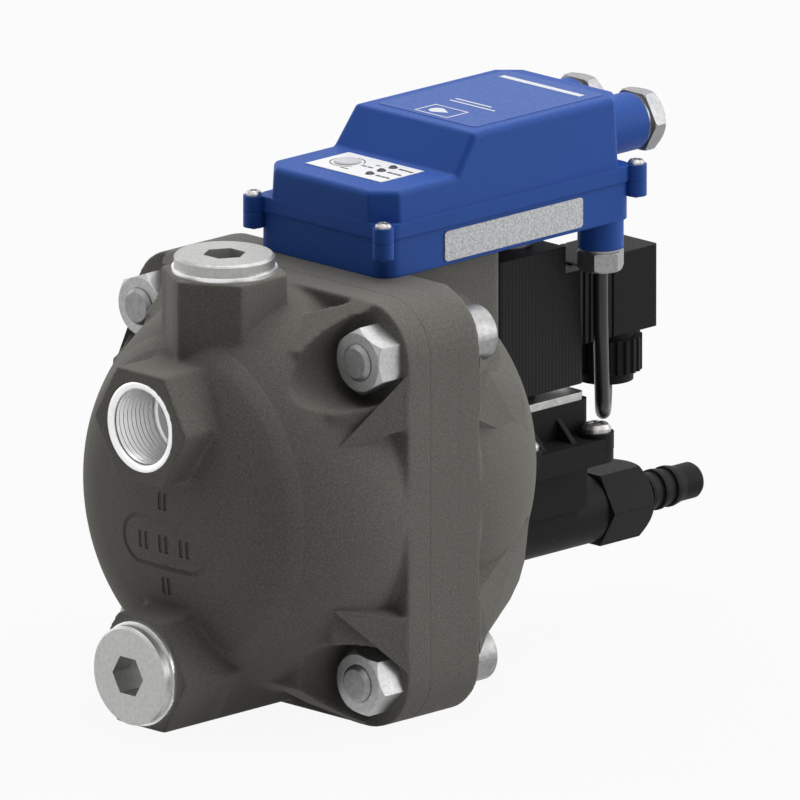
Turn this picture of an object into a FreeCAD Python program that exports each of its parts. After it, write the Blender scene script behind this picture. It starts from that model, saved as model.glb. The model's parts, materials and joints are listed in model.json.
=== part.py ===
import FreeCAD, Part
import math
import os

V = FreeCAD.Vector

# Automatic drain valve for condensate: a two-part cast vessel with screwed ports, an electronics box on top
# and a solenoid diaphragm valve with a hose tail at the rear. Sizes are in millimetres and degrees.
# They are taken from the vessel's middle (X = 0, Z = 0) and the plane where its halves meet (Y = 0).
# Each finished piece is then moved so that the part's origin is the centre of the open inlet port's mouth,
# with +Y towards the outlet and +Z up.
X_DIR = V(1, 0, 0)
Y_DIR = V(0, 1, 0)
Z_DIR = V(0, 0, 1)
FRONT = -1
REAR = 1

# Vessel halves
FLANGE_W = 122.5
FLANGE_H = 138.8
FLANGE_T = 16.35
FLANGE_CORNER_R = 18.0
DOME_R = 61.2
DOME_HALF_H = 66.9
DOME_Z = 2.5
FRONT_DEPTH = 58.2
CROWN_DEPTH = 48.2
CROWN_R = 180.0
CROWN_EDGE_R = 30.0
REAR_DEPTH = 60.9
REAR_FLAT_Y = 67.0
CAVITY_R = 50.0
CAVITY_HALF_H = 54.0
FRONT_CAVITY_DEPTH = 42.0
REAR_CAVITY_DEPTH = 44.0

# Bolts that hold the halves together
BOLT_EDGE_X = 12.25
BOLT_EDGE_Z = 17.0
BOLT_R = 6.0
BOLT_HOLE_R = 6.5
BOLT_HEAD_R = 9.0
BOLT_HEAD_H = 12.0
BOLT_SOCKET_AF = 10.0
BOLT_SOCKET_DEPTH = 6.0
BOLT_END_Y = -28.0
BOLT_END_CHAMFER = 1.2
NUT_AF = 19.0
NUT_H = 10.0
NUT_BORE_R = 6.05
NUT_CHAMFER = 1.6
NUT_TURNS = (8.0, 21.0, 47.0, 33.0)
LUG_LENGTH = 22.0
LUG_ROOT_W = 33.25
LUG_ROOT_H = 38.7
LUG_TIP_W = 31.0
LUG_TIP_H = 29.0
LUG_TIP_EDGE_X = 12.25
LUG_TIP_EDGE_Z = 14.4
POCKET_R = 14.5

# Ports and their plugs
PORT_AF = 36.0
BOSS_EDGE_R = 1.5
PORT_BORE_R = 12.06
PORT_BORE_DEPTH = 18.5
PORT_INNER_R = 11.0
PORT_INNER_DEPTH = 34.0
PORT_FACE_Y = -74.5
INLET_Z = 31.1
INLET_INNER_R = 16.0
INLET_INNER_Y = -56.0
DRAIN_PORT_Z = -49.1
TOP_PORT_Y = -36.8
TOP_PORT_Z = 75.35
PLUG_R = 16.0
PLUG_COLLAR = 4.0
PLUG_CHAMFER = 0.8
PLUG_SHANK_R = 12.0
PLUG_SHANK = 16.0
PLUG_SOCKET_AF = 12.0
PLUG_SOCKET_DEPTH = 8.0
WASHER_R = 16.8
WASHER_HOLE_R = 13.3
WASHER_T = 1.5

# Seal between the halves
SEAL_INNER_R = 51.8
SEAL_WIDTH = 2.6
SEAL_DEPTH = 2.0
SEAL_CLEARANCE = 0.1

# Pillar under the electronics box, with the level probe
PILLAR_HALF_W = 24.0
PILLAR_REAR_Y = 64.0
PILLAR_LOW_Z = 30.0
PILLAR_EDGE_R = 4.0
PROBE_Y = 38.0
PROBE_ROD_R = 6.0
PROBE_HOLE_R = 7.0
PROBE_HEAD_R = 11.0
PROBE_HEAD_H = 5.0
PROBE_POST_R = 4.0
PROBE_POST_H = 8.0
PROBE_LOW_Z = -38.0
PROBE_SEAL_T = 1.5
FIT_GAP = 0.1

# Electronics box
BOX_HALF_W = 29.3
BOX_FRONT_Y = 6.0
BOX_REAR_Y = 117.7
BOX_CORNER_R = 6.0
BASE_H = 12.4
BASE_FLOOR = 2.5
BOX_WALL = 2.5
RIM_OVERHANG = 0.5
RIM_H = 5.0
LID_HALF_W = 29.0
LID_TOP_HALF_W = 27.0
LID_STEP_H = 15.2
LID_TALL_H = 27.5
LID_SLOPE_START_Y = 39.0
LID_SLOPE_END_Y = 48.0
LID_CORNER_CUT = 7.0
LID_WALL = 2.2
LID_EDGE_R = 2.0
EAR_R = 3.4
EAR_X = 29.0
EAR_FRONT_Y = 5.0
EAR_REAR_Y = 118.7
EAR_DROP = 5.2
BOX_SEAL_W = 1.2
BOX_SEAL_INSET = 0.6
BOX_SEAL_H = 1.0
LID_SCREW_R = 1.5
LID_SCREW_HEAD_R = 2.65
LID_SCREW_HEAD_H = 1.6
LID_SCREW_TAIL = 0.8
FIX_SCREW_X = 17.0
FIX_SCREW_YS = (24.0, 54.0)
FIX_SCREW_R = 2.0
FIX_SCREW_HEAD_R = 3.5
FIX_SCREW_HEAD_H = 3.0
FIX_SCREW_DEPTH = 11.0

# Circuit board, terminals, lamps and test button
BOARD_HALF_W = 23.0
BOARD_FRONT_Y = 13.0
BOARD_REAR_Y = 111.0
BOARD_T = 1.6
POST_R = 3.0
POST_H = 8.0
POST_X = 20.0
POST_YS = (17.5, 90.0)
TERMINAL_HALF_W = 18.0
TERMINAL_FRONT_Y = 88.0
TERMINAL_DEPTH = 11.0
TERMINAL_H = 10.0
TERMINAL_WAYS = 6
TERMINAL_SLOT = 3.6
TERMINAL_SLOT_DEPTH = 6.0
LABEL_X0 = -17.5
LABEL_X1 = 16.4
LABEL_Y0 = 16.6
LABEL_Y1 = 36.0
LABEL_T = 0.3
LAMP_X = 6.5
LAMP_YS = (21.5, 26.7, 31.9)
LAMP_R = 1.5
LAMP_PROUD = 0.5
BUTTON_X = -8.9
BUTTON_Y = 26.9
BUTTON_R = 4.3
BUTTON_PROUD = 0.6
BUTTON_COLLAR_R = 5.5
BUTTON_COLLAR_H = 1.0
BUTTON_REST_GAP = 0.3
BUTTON_STEM_R = 1.5
BUTTON_TRAVEL = 0.8
SWITCH_HALF_W = 3.0
SWITCH_H = 1.6
PLATE_Y0 = 32.0
PLATE_Y1 = 94.0
PLATE_T = 0.4
PLATE_MARGIN = 1.3
FILM_HALF_W = 22.0
FILM_Y0 = 53.0
FILM_Y1 = 112.0
FILM_T = 0.2

# Cable glands at the rear of the lid
GLAND_X = 13.0
GLAND_Z = 95.5
GLAND_BOSS_R = 9.4
GLAND_BOSS_END_Y = 131.6
GLAND_THREAD_R = 6.1
GLAND_COLLAR_R = 8.7
GLAND_COLLAR = 1.8
GLAND_NECK_R = 6.6
GLAND_NECK = 3.0
GLAND_BORE_R = 4.5
GLAND_NUT_AF = 18.5
GLAND_NUT_H = 5.6
GLAND_MOUTH_R = 4.0
GLAND_SEAL_R = 3.3
GLAND_SEAL_L = 7.0

# Gland under the box for the lead to the solenoid
LEAD_GLAND_X = 21.9
LEAD_GLAND_Y = 109.8
LEAD_BOSS_R = 7.4
LEAD_BOSS_DROP = 9.4
LEAD_THREAD_R = 4.6
LEAD_COLLAR_R = 6.6
LEAD_COLLAR = 1.0
LEAD_NUT_AF = 13.3
LEAD_NUT_H = 6.4
LEAD_NECK_R = 4.9
LEAD_NECK = 3.6

# Lead: its leg down is beside the valve, then it turns up into the plug
LEAD_R = 2.4
LEAD_BEND_Z = 38.0
LEAD_LOW_Z = -0.5
LEAD_TURN = 16.0
LEAD_END_Z = 17.5
ARC_SHARE = 0.45

# Solenoid
VALVE_Y = 89.0
COIL_HALF_W = 17.0
COIL_FRONT_Y = 68.0
COIL_REAR_Y = 108.0
COIL_LOW_Z = 14.5
COIL_TOP_Z = 61.0
COIL_SHOULDER_Y = 99.0
COIL_SHOULDER_Z = 52.0
COIL_EDGE_R = 2.5
COIL_BORE_R = 6.7
TUBE_R = 6.5
TUBE_BORE_R = 5.6
TUBE_FLANGE_R = 9.5
TUBE_FLANGE_T = 2.0
TUBE_STOP_Z = 32.2
TUBE_STUD_R = 4.0
TUBE_STUD = 7.0
COIL_WASHER_R = 9.0
COIL_WASHER_T = 1.0
COIL_NUT_AF = 14.0
COIL_NUT_H = 5.0
PLUNGER_R = 5.5
PLUNGER_LOW_Z = 7.8
PLUNGER_TOP_Z = 30.0
PLUNGER_TRAVEL = 2.0
PLUNGER_SPRING_HOLE_R = 3.4
PLUNGER_SPRING_HOLE = 12.0
PLUNGER_SEAL_R = 2.6
PLUNGER_SEAL_PROUD = 0.8
PLUNGER_SEAL_DEPTH = 1.6

# Plug on the solenoid
PLUG_BODY_HALF_W = 10.75
PLUG_BODY_LOW_Z = 24.8
PLUG_BODY_TOP_Z = 51.8
PLUG_BODY_REAR_Y = 147.4
PLUG_BODY_EDGE_R = 1.5
GASKET_T = 1.4
GASKET_PROUD = 0.8
RIB_COUNT = 6
RIB_PITCH = 2.6
RIB_WIDTH = 1.1
RIB_DEPTH = 0.5
RIB_START_Y = 113.0
PLUG_NUT_Y = 134.0
PLUG_NECK_R = 9.5
PLUG_NECK_LOW_Z = 14.5
PLUG_NUT_R = 12.0
PLUG_NUT_TOP_Z = 22.5
PLUG_NUT_LOW_Z = 11.4
PLUG_NUT_FLUTES = 24
PLUG_NUT_FLUTE_R = 0.8
PLUG_RING_R = 9.2
PLUG_RING_LOW_Z = 8.0
PLUG_SCREW_R = 1.5
PLUG_SCREW_HEAD_R = 3.2
PLUG_SCREW_HEAD_H = 1.6
PLUG_SCREW_Z = 43.0
PLUG_SCREW_DEPTH = 8.0

# Valve
PLATE_LOW_Z = 9.2
STEEL_PLATE_T = 2.5
CAP_HALF_W = 17.0
CAP_FRONT_Y = 68.5
CAP_REAR_Y = 110.0
SPLIT_Z = -6.0
SHELF_HALF_W = 27.5
SHELF_FRONT_Y = 70.0
SHELF_REAR_Y = 113.5
SHELF_T = 4.0
SHELF_CORNER_R = 5.6
CAP_RIB_YS = (81.5, 95.0)
CAP_RIB_REACH = 7.0
CAP_RIB_T = 2.0
CAP_RIB_TOP_Z = 4.8
CAP_SCREW_X = 22.0
CAP_SCREW_YS = (75.5, 108.0)
CAP_SCREW_BOSS = 1.5
CAP_SCREW_HEAD_R = 4.7
CAP_SCREW_HEAD_H = 3.0
CAP_SCREW_R = 2.5
CAP_SCREW_L = 7.0
CHAMBER_R = 11.5
CAP_CHAMBER_TOP_Z = 3.0
PILOT_HOLE_R = 0.8
PILOT_SEAT_R = 2.2
CORE_RECESS_R = 9.7
DIAPHRAGM_R = 14.5
DIAPHRAGM_T = 1.5
DIAPHRAGM_DROP = 3.5
DIAPHRAGM_HOLE_R = 3.1
DISC_R = 6.0
DISC_T = 1.6
DISC_HUB_R = 3.0
DISC_CAP_R = 5.5
DISC_CAP_T = 1.2
DISC_LIFT = 1.5
SEAT_R = 5.5
SEAT_BORE_R = 3.5
FLOW_Z = -33.3
FLOW_R = 5.0
BODY_R = 11.4
BODY_HALF_W = 15.0
BODY_BLOCK_Y0 = 75.5
BODY_BLOCK_Y1 = 111.0
BODY_CHAMBER_Z = -14.5
BODY_END_Y = 124.2
INLET_DRILL_Y = 80.5
INLET_DRILL_R = 2.0
INLET_END_Y = 83.0
OUTLET_START_Y = 85.4
MOUNT_PLATE_HALF_W = 20.0
MOUNT_PLATE_TOP_Z = -14.0
MOUNT_PLATE_LOW_Z = -46.0
MOUNT_PLATE_T = 4.0
MOUNT_SCREW_X = 15.5
MOUNT_SCREW_ZS = (-18.5, -41.5)
MOUNT_SCREW_R = 2.0
MOUNT_SCREW_HEAD_R = 3.5
MOUNT_SCREW_HEAD_H = 4.0
MOUNT_SCREW_L = 12.0
PAD_DEPTH = 30.0
INLET_SEAL_R = 8.0
INLET_SEAL_T = 1.5
SPRING_WIRE_R = 0.45
DIAPHRAGM_SPRING_R = 4.6
PLUNGER_SPRING_R = 2.5

# Hose tail
TAIL_THREAD_R = 8.6
TAIL_THREAD_START_Y = 112.0
TAIL_HEX_AF = 23.2
TAIL_HEX_END_Y = 145.0
TAIL_HEX_CHAMFER = 2.0
TAIL_SEAL_R = 11.0
TAIL_SEAL_T = 1.0
TAIL_BORE_R = 4.0
TAIL_CORE_R = 5.9
TAIL_END_Y = 173.9
BARB_R = 6.7
BARB_COUNT = 3
BARB_START_Y = 150.0
BARB_PITCH = 5.6
BARB_LAND = 1.4

# Levels that follow from the sizes above
FLANGE_HALF_W = FLANGE_W / 2
FLANGE_HALF_H = FLANGE_H / 2
BOLT_X = FLANGE_HALF_W - BOLT_EDGE_X
BOLT_Z = FLANGE_HALF_H - BOLT_EDGE_Z
BOX_LOW_Z = FLANGE_HALF_H
RIM_Z = BOX_LOW_Z + BASE_H
RIM_TOP_Z = RIM_Z + RIM_H
STEP_Z = RIM_Z + LID_STEP_H
TALL_Z = RIM_Z + LID_TALL_H
FLOOR_Z = BOX_LOW_Z + BASE_FLOOR
BOARD_Z = FLOOR_Z + POST_H
BOARD_TOP_Z = BOARD_Z + BOARD_T
LEAD_BOSS_Z = BOX_LOW_Z - LEAD_BOSS_DROP
STEEL_TOP_Z = PLATE_LOW_Z + STEEL_PLATE_T
DIAPHRAGM_LOW_Z = SPLIT_Z - DIAPHRAGM_T
DISC_TOP_Z = SPLIT_Z - DIAPHRAGM_DROP
SEAT_Z = DISC_TOP_Z - DIAPHRAGM_T - DISC_T


def block(x0, x1, y0, y1, z0, z1):
    return Part.makeBox(x1 - x0, y1 - y0, z1 - z0, V(x0, y0, z0))


def rod(radius, base, axis, length):
    return Part.makeCylinder(radius, length, base, axis)


def edges_along(shape, axis):
    found = []
    for edge in shape.Edges:
        if edge.Curve.TypeId != "Part::GeomLine":
            continue
        if abs(edge.Curve.Direction.dot(axis)) > 0.999:
            found.append(edge)
    return found


def rounded_block(x0, x1, y0, y1, z0, z1, radius, axis):
    """Block whose four edges along one axis are rounded."""
    shape = block(x0, x1, y0, y1, z0, z1)
    return shape.makeFillet(radius, edges_along(shape, axis))


def hex_prism(across_flats, base, axis, length, corner):
    """Hexagonal bar; corner is the direction from its middle to one of its six corners."""
    reach = across_flats / math.sqrt(3)
    points = []
    for step in range(7):
        arm = FreeCAD.Rotation(axis, 60.0 * step).multVec(corner)
        points.append(base + arm * reach)
    return Part.Face(Part.makePolygon(points)).extrude(axis * length)


def cast_boss(base, axis, length, corner):
    """Hexagonal boss of a port, with rounded corners."""
    bar = hex_prism(PORT_AF, base, axis, length, corner)
    return bar.makeFillet(BOSS_EDGE_R, edges_along(bar, axis))


def turned(outline, base, axis):
    """Solid turned about an axis from corners given as (radius, distance along the axis)."""
    points = [V(radius, 0, distance) for radius, distance in outline]
    points.append(points[0])
    solid = Part.Face(Part.makePolygon(points)).revolve(V(0, 0, 0), Z_DIR, 360)
    solid.Placement = FreeCAD.Placement(base, FreeCAD.Rotation(Z_DIR, axis))
    return solid


def ring(inner_r, outer_r, base, axis, length):
    return turned([(inner_r, 0), (outer_r, 0), (outer_r, length), (inner_r, length)], base, axis)


def chamfered_bar(radius, base, axis, length, low_cut, high_cut):
    """Round bar with a chamfer at each end."""
    outline = [(0, 0), (radius - low_cut, 0)]
    if low_cut > 0:
        outline.append((radius, low_cut))
    if high_cut > 0:
        outline.append((radius, length - high_cut))
    outline.append((radius - high_cut, length))
    outline.append((0, length))
    return turned(outline, base, axis)


def hex_nut(across_flats, base, axis, length, corner, low_cut, high_cut):
    """Hexagon whose corners are turned down at its ends."""
    reach = across_flats / math.sqrt(3)
    bar = hex_prism(across_flats, base, axis, length, corner)
    return bar.common(chamfered_bar(reach, base, axis, length, low_cut, high_cut))


def spring(wire_r, coil_r, base, length):
    """Compression spring along +Z, as a sleeve that fills the space of its turns."""
    return ring(coil_r - wire_r, coil_r + wire_r, base, Z_DIR, length)


def save(node, shape):
    moved = shape.copy()
    moved.translate(V(0, -PORT_FACE_Y, -INLET_Z))
    moved.exportStep("parts/" + node + ".step")


# Vessel
def half_ellipsoid(radius, depth, half_h, base_y, side):
    unit = Part.makeSphere(1.0, V(0, 0, 0), V(0, side, 0), 0, 90, 360)
    stretch = FreeCAD.Matrix()
    stretch.scale(radius, depth, half_h)
    solid = unit.transformGeometry(stretch)
    solid.translate(V(0, base_y, DOME_Z))
    return solid


def crowned_dome():
    """Front dome: an ellipsoid whose nose is flattened to a shallow crown."""
    oval = half_ellipsoid(DOME_R, FRONT_DEPTH, DOME_HALF_H, -FLANGE_T, FRONT)
    crown = Part.makeSphere(CROWN_R, V(0, CROWN_R - FLANGE_T - CROWN_DEPTH, DOME_Z))
    dome = oval.common(crown)
    edges = [edge for edge in dome.Edges if edge.BoundBox.YMax < -FLANGE_T - 1 and not edge.Degenerated]
    return dome.makeFillet(CROWN_EDGE_R, edges)


def flange(side):
    y0 = min(0.0, side * FLANGE_T)
    return rounded_block(-FLANGE_HALF_W, FLANGE_HALF_W, y0, y0 + FLANGE_T,
                         -FLANGE_HALF_H, FLANGE_HALF_H, FLANGE_CORNER_R, Y_DIR)


def rectangle(x0, x1, z0, z1, y):
    corners = [V(x0, y, z0), V(x1, y, z0), V(x1, y, z1), V(x0, y, z1), V(x0, y, z0)]
    return Part.makePolygon(corners)


def corner_lug(side):
    """Tapered block that ties one corner of the flange to the dome; the other corners mirror it."""
    root = rectangle(FLANGE_HALF_W - LUG_ROOT_W, FLANGE_HALF_W, FLANGE_HALF_H - LUG_ROOT_H, FLANGE_HALF_H,
                     side * FLANGE_T)
    tip_x = FLANGE_HALF_W - LUG_TIP_EDGE_X
    tip_z = FLANGE_HALF_H - LUG_TIP_EDGE_Z
    tip = rectangle(tip_x - LUG_TIP_W, tip_x, tip_z - LUG_TIP_H, tip_z, side * (FLANGE_T + LUG_LENGTH))
    lug = Part.makeLoft([root, tip], True, True)
    y0 = min(0.0, side * (FLANGE_T + LUG_LENGTH))
    outline = rounded_block(-FLANGE_HALF_W, FLANGE_HALF_W, y0, y0 + FLANGE_T + LUG_LENGTH,
                            -FLANGE_HALF_H, FLANGE_HALF_H, FLANGE_CORNER_R, Y_DIR)
    return lug.common(outline)


def four_corners(shape):
    """The shape and its copies mirrored in X, in Z and in both."""
    right = [shape, shape.mirror(V(0, 0, 0), Z_DIR)]
    left = [piece.mirror(V(0, 0, 0), X_DIR) for piece in right]
    return right + left


def bolt_places():
    places = []
    for x in (-BOLT_X, BOLT_X):
        for z in (-BOLT_Z, BOLT_Z):
            places.append((x, z))
    return places


def shell_blank(side, depth, dome, extras):
    """Flange, dome and corner lugs of one half, with the pockets and holes for the bolts."""
    shell = flange(side).fuse([dome])
    shell = shell.fuse(four_corners(corner_lug(side)) + extras)
    direction = V(0, side, 0)
    cuts = []
    for x, z in bolt_places():
        cuts.append(rod(POCKET_R, V(x, side * FLANGE_T, z), direction, depth))
        cuts.append(rod(BOLT_HOLE_R, V(x, 0, z), direction, FLANGE_T))
    return shell.cut(cuts)


def port_bore(face, axis):
    """Threaded part of a port's bore, and the narrower way on into the vessel."""
    return [rod(PORT_BORE_R, face, axis, PORT_BORE_DEPTH), rod(PORT_INNER_R, face, axis, PORT_INNER_DEPTH)]


def front_shell():
    reach = -PORT_FACE_Y - FLANGE_T
    inlet_boss = cast_boss(V(0, PORT_FACE_Y, INLET_Z), Y_DIR, reach, X_DIR)
    drain_boss = cast_boss(V(0, PORT_FACE_Y, DRAIN_PORT_Z), Y_DIR, reach, X_DIR)
    top_boss = cast_boss(V(0, TOP_PORT_Y, DOME_Z), Z_DIR, TOP_PORT_Z - DOME_Z, Y_DIR)
    shell = shell_blank(FRONT, FRONT_DEPTH, crowned_dome(), [inlet_boss, drain_boss, top_boss])
    cavity = half_ellipsoid(CAVITY_R, FRONT_CAVITY_DEPTH, CAVITY_HALF_H, -FLANGE_T, FRONT)
    mouth = oval_bar(CAVITY_R, CAVITY_HALF_H, -FLANGE_T, 0)
    shell = shell.cut([cavity, mouth])
    inner_boss = rod(INLET_INNER_R, V(0, PORT_FACE_Y + 1, INLET_Z), Y_DIR,
                     INLET_INNER_Y - PORT_FACE_Y - 1)
    shell = shell.fuse(inner_boss)
    cuts = port_bore(V(0, PORT_FACE_Y, INLET_Z), Y_DIR)
    cuts += port_bore(V(0, PORT_FACE_Y, DRAIN_PORT_Z), Y_DIR)
    cuts += port_bore(V(0, TOP_PORT_Y, TOP_PORT_Z), V(0, 0, -1))
    return shell.cut(cuts).removeSplitter()


def oval_bar(half_w, half_h, y0, y1):
    """Straight bar of elliptical section along Y."""
    unit = Part.makeCylinder(1.0, y1 - y0, V(0, y0, 0), Y_DIR)
    stretch = FreeCAD.Matrix()
    stretch.scale(half_w, 1, half_h)
    solid = unit.transformGeometry(stretch)
    solid.translate(V(0, 0, DOME_Z))
    return solid


def seal_band(inner_gap, outer_gap, y0, y1):
    """Oval band that follows the cavity's rim in the flange."""
    extra_h = CAVITY_HALF_H - CAVITY_R
    outer_r = SEAL_INNER_R + SEAL_WIDTH + outer_gap
    inner_r = SEAL_INNER_R - inner_gap
    outer = oval_bar(outer_r, outer_r + extra_h, y0, y1)
    return outer.cut(oval_bar(inner_r, inner_r + extra_h, y0, y1))


def rear_shell():
    pillar = rounded_block(-PILLAR_HALF_W, PILLAR_HALF_W, 0, PILLAR_REAR_Y, PILLAR_LOW_Z,
                           BOX_LOW_Z, PILLAR_EDGE_R, Z_DIR)
    pad = block(-MOUNT_PLATE_HALF_W, MOUNT_PLATE_HALF_W, REAR_FLAT_Y - PAD_DEPTH, REAR_FLAT_Y,
                MOUNT_PLATE_LOW_Z, MOUNT_PLATE_TOP_Z)
    dome = half_ellipsoid(DOME_R, REAR_DEPTH, DOME_HALF_H, FLANGE_T, REAR)
    shell = shell_blank(REAR, REAR_DEPTH, dome, [pillar, pad])
    beyond = block(-DOME_R, DOME_R, REAR_FLAT_Y, REAR_FLAT_Y + REAR_DEPTH, -DOME_R, DOME_R)
    cavity = half_ellipsoid(CAVITY_R, REAR_CAVITY_DEPTH, CAVITY_HALF_H, FLANGE_T, REAR)
    mouth = oval_bar(CAVITY_R, CAVITY_HALF_H, 0, FLANGE_T)
    groove = seal_band(SEAL_CLEARANCE, SEAL_CLEARANCE, 0, SEAL_DEPTH)
    probe_hole = rod(PROBE_HOLE_R, V(0, PROBE_Y, DOME_Z), Z_DIR, BOX_LOW_Z - DOME_Z)
    probe_seat = rod(PROBE_HEAD_R + FIT_GAP, V(0, PROBE_Y, BOX_LOW_Z - PROBE_HEAD_H - PROBE_SEAL_T),
                     Z_DIR, PROBE_HEAD_H + PROBE_SEAL_T)
    outlet = rod(FLOW_R, V(0, FLANGE_T, FLOW_Z), Y_DIR, REAR_FLAT_Y - FLANGE_T)
    cuts = [beyond, cavity, mouth, groove, probe_hole, probe_seat, outlet]
    for x, y in fix_screw_places():
        cuts.append(rod(FIX_SCREW_R + FIT_GAP, V(x, y, BOX_LOW_Z), V(0, 0, -1), FIX_SCREW_DEPTH + 1))
    for x, z in mount_screw_places():
        depth = MOUNT_SCREW_L - MOUNT_PLATE_T + 1
        cuts.append(rod(MOUNT_SCREW_R + FIT_GAP, V(x, REAR_FLAT_Y, z), V(0, -1, 0), depth))
    return shell.cut(cuts).removeSplitter()


def shell_seal():
    return seal_band(0, 0, 0, SEAL_DEPTH)


def shell_bolts():
    bolts = []
    for x, z in bolt_places():
        head = chamfered_bar(BOLT_HEAD_R, V(x, FLANGE_T, z), Y_DIR, BOLT_HEAD_H, 0, BOLT_END_CHAMFER)
        shank = chamfered_bar(BOLT_R, V(x, BOLT_END_Y, z), Y_DIR, FLANGE_T - BOLT_END_Y,
                              BOLT_END_CHAMFER, 0)
        socket = hex_prism(BOLT_SOCKET_AF, V(x, FLANGE_T + BOLT_HEAD_H, z), V(0, -1, 0),
                           BOLT_SOCKET_DEPTH, X_DIR)
        bolts.append(head.fuse(shank).cut(socket))
    return Part.makeCompound(bolts)


def shell_nuts():
    nuts = []
    for (x, z), turn in zip(bolt_places(), NUT_TURNS):
        base = V(x, -FLANGE_T, z)
        front = V(0, -1, 0)
        corner = FreeCAD.Rotation(front, turn).multVec(X_DIR)
        nut = hex_nut(NUT_AF, base, front, NUT_H, corner, 0, NUT_CHAMFER)
        nuts.append(nut.cut(rod(NUT_BORE_R, base, front, NUT_H)))
    return Part.makeCompound(nuts)


def port_plug(face, axis, corner):
    """Screw plug with a collar and a hexagon socket; axis points out of the port."""
    collar_base = face + axis * WASHER_T
    collar = chamfered_bar(PLUG_R, collar_base, axis, PLUG_COLLAR, 0, PLUG_CHAMFER)
    shank = chamfered_bar(PLUG_SHANK_R, collar_base, axis * -1, PLUG_SHANK, 0, PLUG_CHAMFER)
    socket = hex_prism(PLUG_SOCKET_AF, collar_base + axis * PLUG_COLLAR, axis * -1,
                       PLUG_SOCKET_DEPTH, corner)
    return collar.fuse(shank).cut(socket)


def port_washer(face, axis):
    return ring(WASHER_HOLE_R, WASHER_R, face, axis, WASHER_T)


def top_plug():
    return port_plug(V(0, TOP_PORT_Y, TOP_PORT_Z), Z_DIR, X_DIR)


def top_plug_seal():
    return port_washer(V(0, TOP_PORT_Y, TOP_PORT_Z), Z_DIR)


def lower_plug():
    return port_plug(V(0, PORT_FACE_Y, DRAIN_PORT_Z), V(0, -1, 0), X_DIR)


def lower_plug_seal():
    return port_washer(V(0, PORT_FACE_Y, DRAIN_PORT_Z), V(0, -1, 0))


# Level probe in the pillar
def level_probe():
    head_low = BOX_LOW_Z - PROBE_HEAD_H
    rod_length = head_low - PROBE_LOW_Z
    sheath = chamfered_bar(PROBE_ROD_R, V(0, PROBE_Y, PROBE_LOW_Z), Z_DIR, rod_length, PROBE_ROD_R / 3, 0)
    head = rod(PROBE_HEAD_R, V(0, PROBE_Y, head_low), Z_DIR, PROBE_HEAD_H)
    post = rod(PROBE_POST_R, V(0, PROBE_Y, BOX_LOW_Z), Z_DIR, PROBE_POST_H)
    return sheath.fuse([head, post]).removeSplitter()


def probe_seal():
    base = V(0, PROBE_Y, BOX_LOW_Z - PROBE_HEAD_H - PROBE_SEAL_T)
    return ring(PROBE_HOLE_R, PROBE_HEAD_R, base, Z_DIR, PROBE_SEAL_T)


# Electronics box
def fix_screw_places():
    places = []
    for x in (-FIX_SCREW_X, FIX_SCREW_X):
        for y in FIX_SCREW_YS:
            places.append((x, y))
    return places


def ear_places():
    places = []
    for x in (-EAR_X, EAR_X):
        for y in (EAR_FRONT_Y, EAR_REAR_Y):
            places.append((x, y))
    return places


def box_slab(grow, z0, z1, corner_r):
    """Plan of the box, made larger by grow on every side, between two levels."""
    half_w = BOX_HALF_W + grow
    return rounded_block(-half_w, half_w, BOX_FRONT_Y - grow, BOX_REAR_Y + grow, z0, z1,
                         corner_r, Z_DIR)


def ears(z0, z1):
    return [rod(EAR_R, V(x, y, z0), Z_DIR, z1 - z0) for x, y in ear_places()]


def ear_holes(z0, z1):
    hole_r = LID_SCREW_R + FIT_GAP
    return [rod(hole_r, V(x, y, z0), Z_DIR, z1 - z0) for x, y in ear_places()]


def seal_loop(gap, z0, z1):
    outer = box_slab(gap - BOX_SEAL_INSET, z0, z1, BOX_CORNER_R - BOX_SEAL_INSET)
    inner = box_slab(-gap - BOX_SEAL_INSET - BOX_SEAL_W, z0, z1, BOX_CORNER_R - BOX_WALL / 2)
    return outer.cut(inner)


def box_base():
    tray = box_slab(0, BOX_LOW_Z, RIM_Z, BOX_CORNER_R).fuse(ears(RIM_Z - EAR_DROP, RIM_Z))
    boss = rod(LEAD_BOSS_R, V(LEAD_GLAND_X, LEAD_GLAND_Y, LEAD_BOSS_Z), Z_DIR, LEAD_BOSS_DROP)
    inside = box_slab(-BOX_WALL, FLOOR_Z, RIM_Z, BOX_CORNER_R - BOX_WALL)
    tray = tray.fuse(boss).cut(inside)
    posts = []
    for x in (-POST_X, POST_X):
        for y in POST_YS:
            posts.append(rod(POST_R, V(x, y, BOX_LOW_Z + BASE_FLOOR / 2), Z_DIR, POST_H + BASE_FLOOR / 2))
    tray = tray.fuse(posts)
    cuts = ear_holes(RIM_Z - EAR_DROP, RIM_Z)
    cuts.append(seal_loop(0, RIM_Z - BOX_SEAL_H, RIM_Z))
    cuts.append(rod(PROBE_POST_R + 2 * FIT_GAP, V(0, PROBE_Y, BOX_LOW_Z), Z_DIR, BASE_FLOOR))
    cuts.append(rod(LEAD_THREAD_R + FIT_GAP, V(LEAD_GLAND_X, LEAD_GLAND_Y, LEAD_BOSS_Z), Z_DIR,
                    LEAD_BOSS_DROP + BASE_FLOOR))
    for x, y in fix_screw_places():
        cuts.append(rod(FIX_SCREW_R + FIT_GAP, V(x, y, BOX_LOW_Z), Z_DIR, BASE_FLOOR))
    return tray.cut(cuts).removeSplitter()


def box_seal():
    return seal_loop(0, RIM_Z - BOX_SEAL_H, RIM_Z)


def cut_corner_plan(half_w, y0, y1, cut, z):
    """Rectangle with its corners cut off, as a closed wire."""
    corners = [V(half_w, y0 + cut, z), V(half_w, y1 - cut, z), V(half_w - cut, y1, z),
               V(cut - half_w, y1, z), V(-half_w, y1 - cut, z), V(-half_w, y0 + cut, z),
               V(cut - half_w, y0, z), V(half_w - cut, y0, z)]
    corners.append(corners[0])
    return Part.makePolygon(corners)


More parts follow.
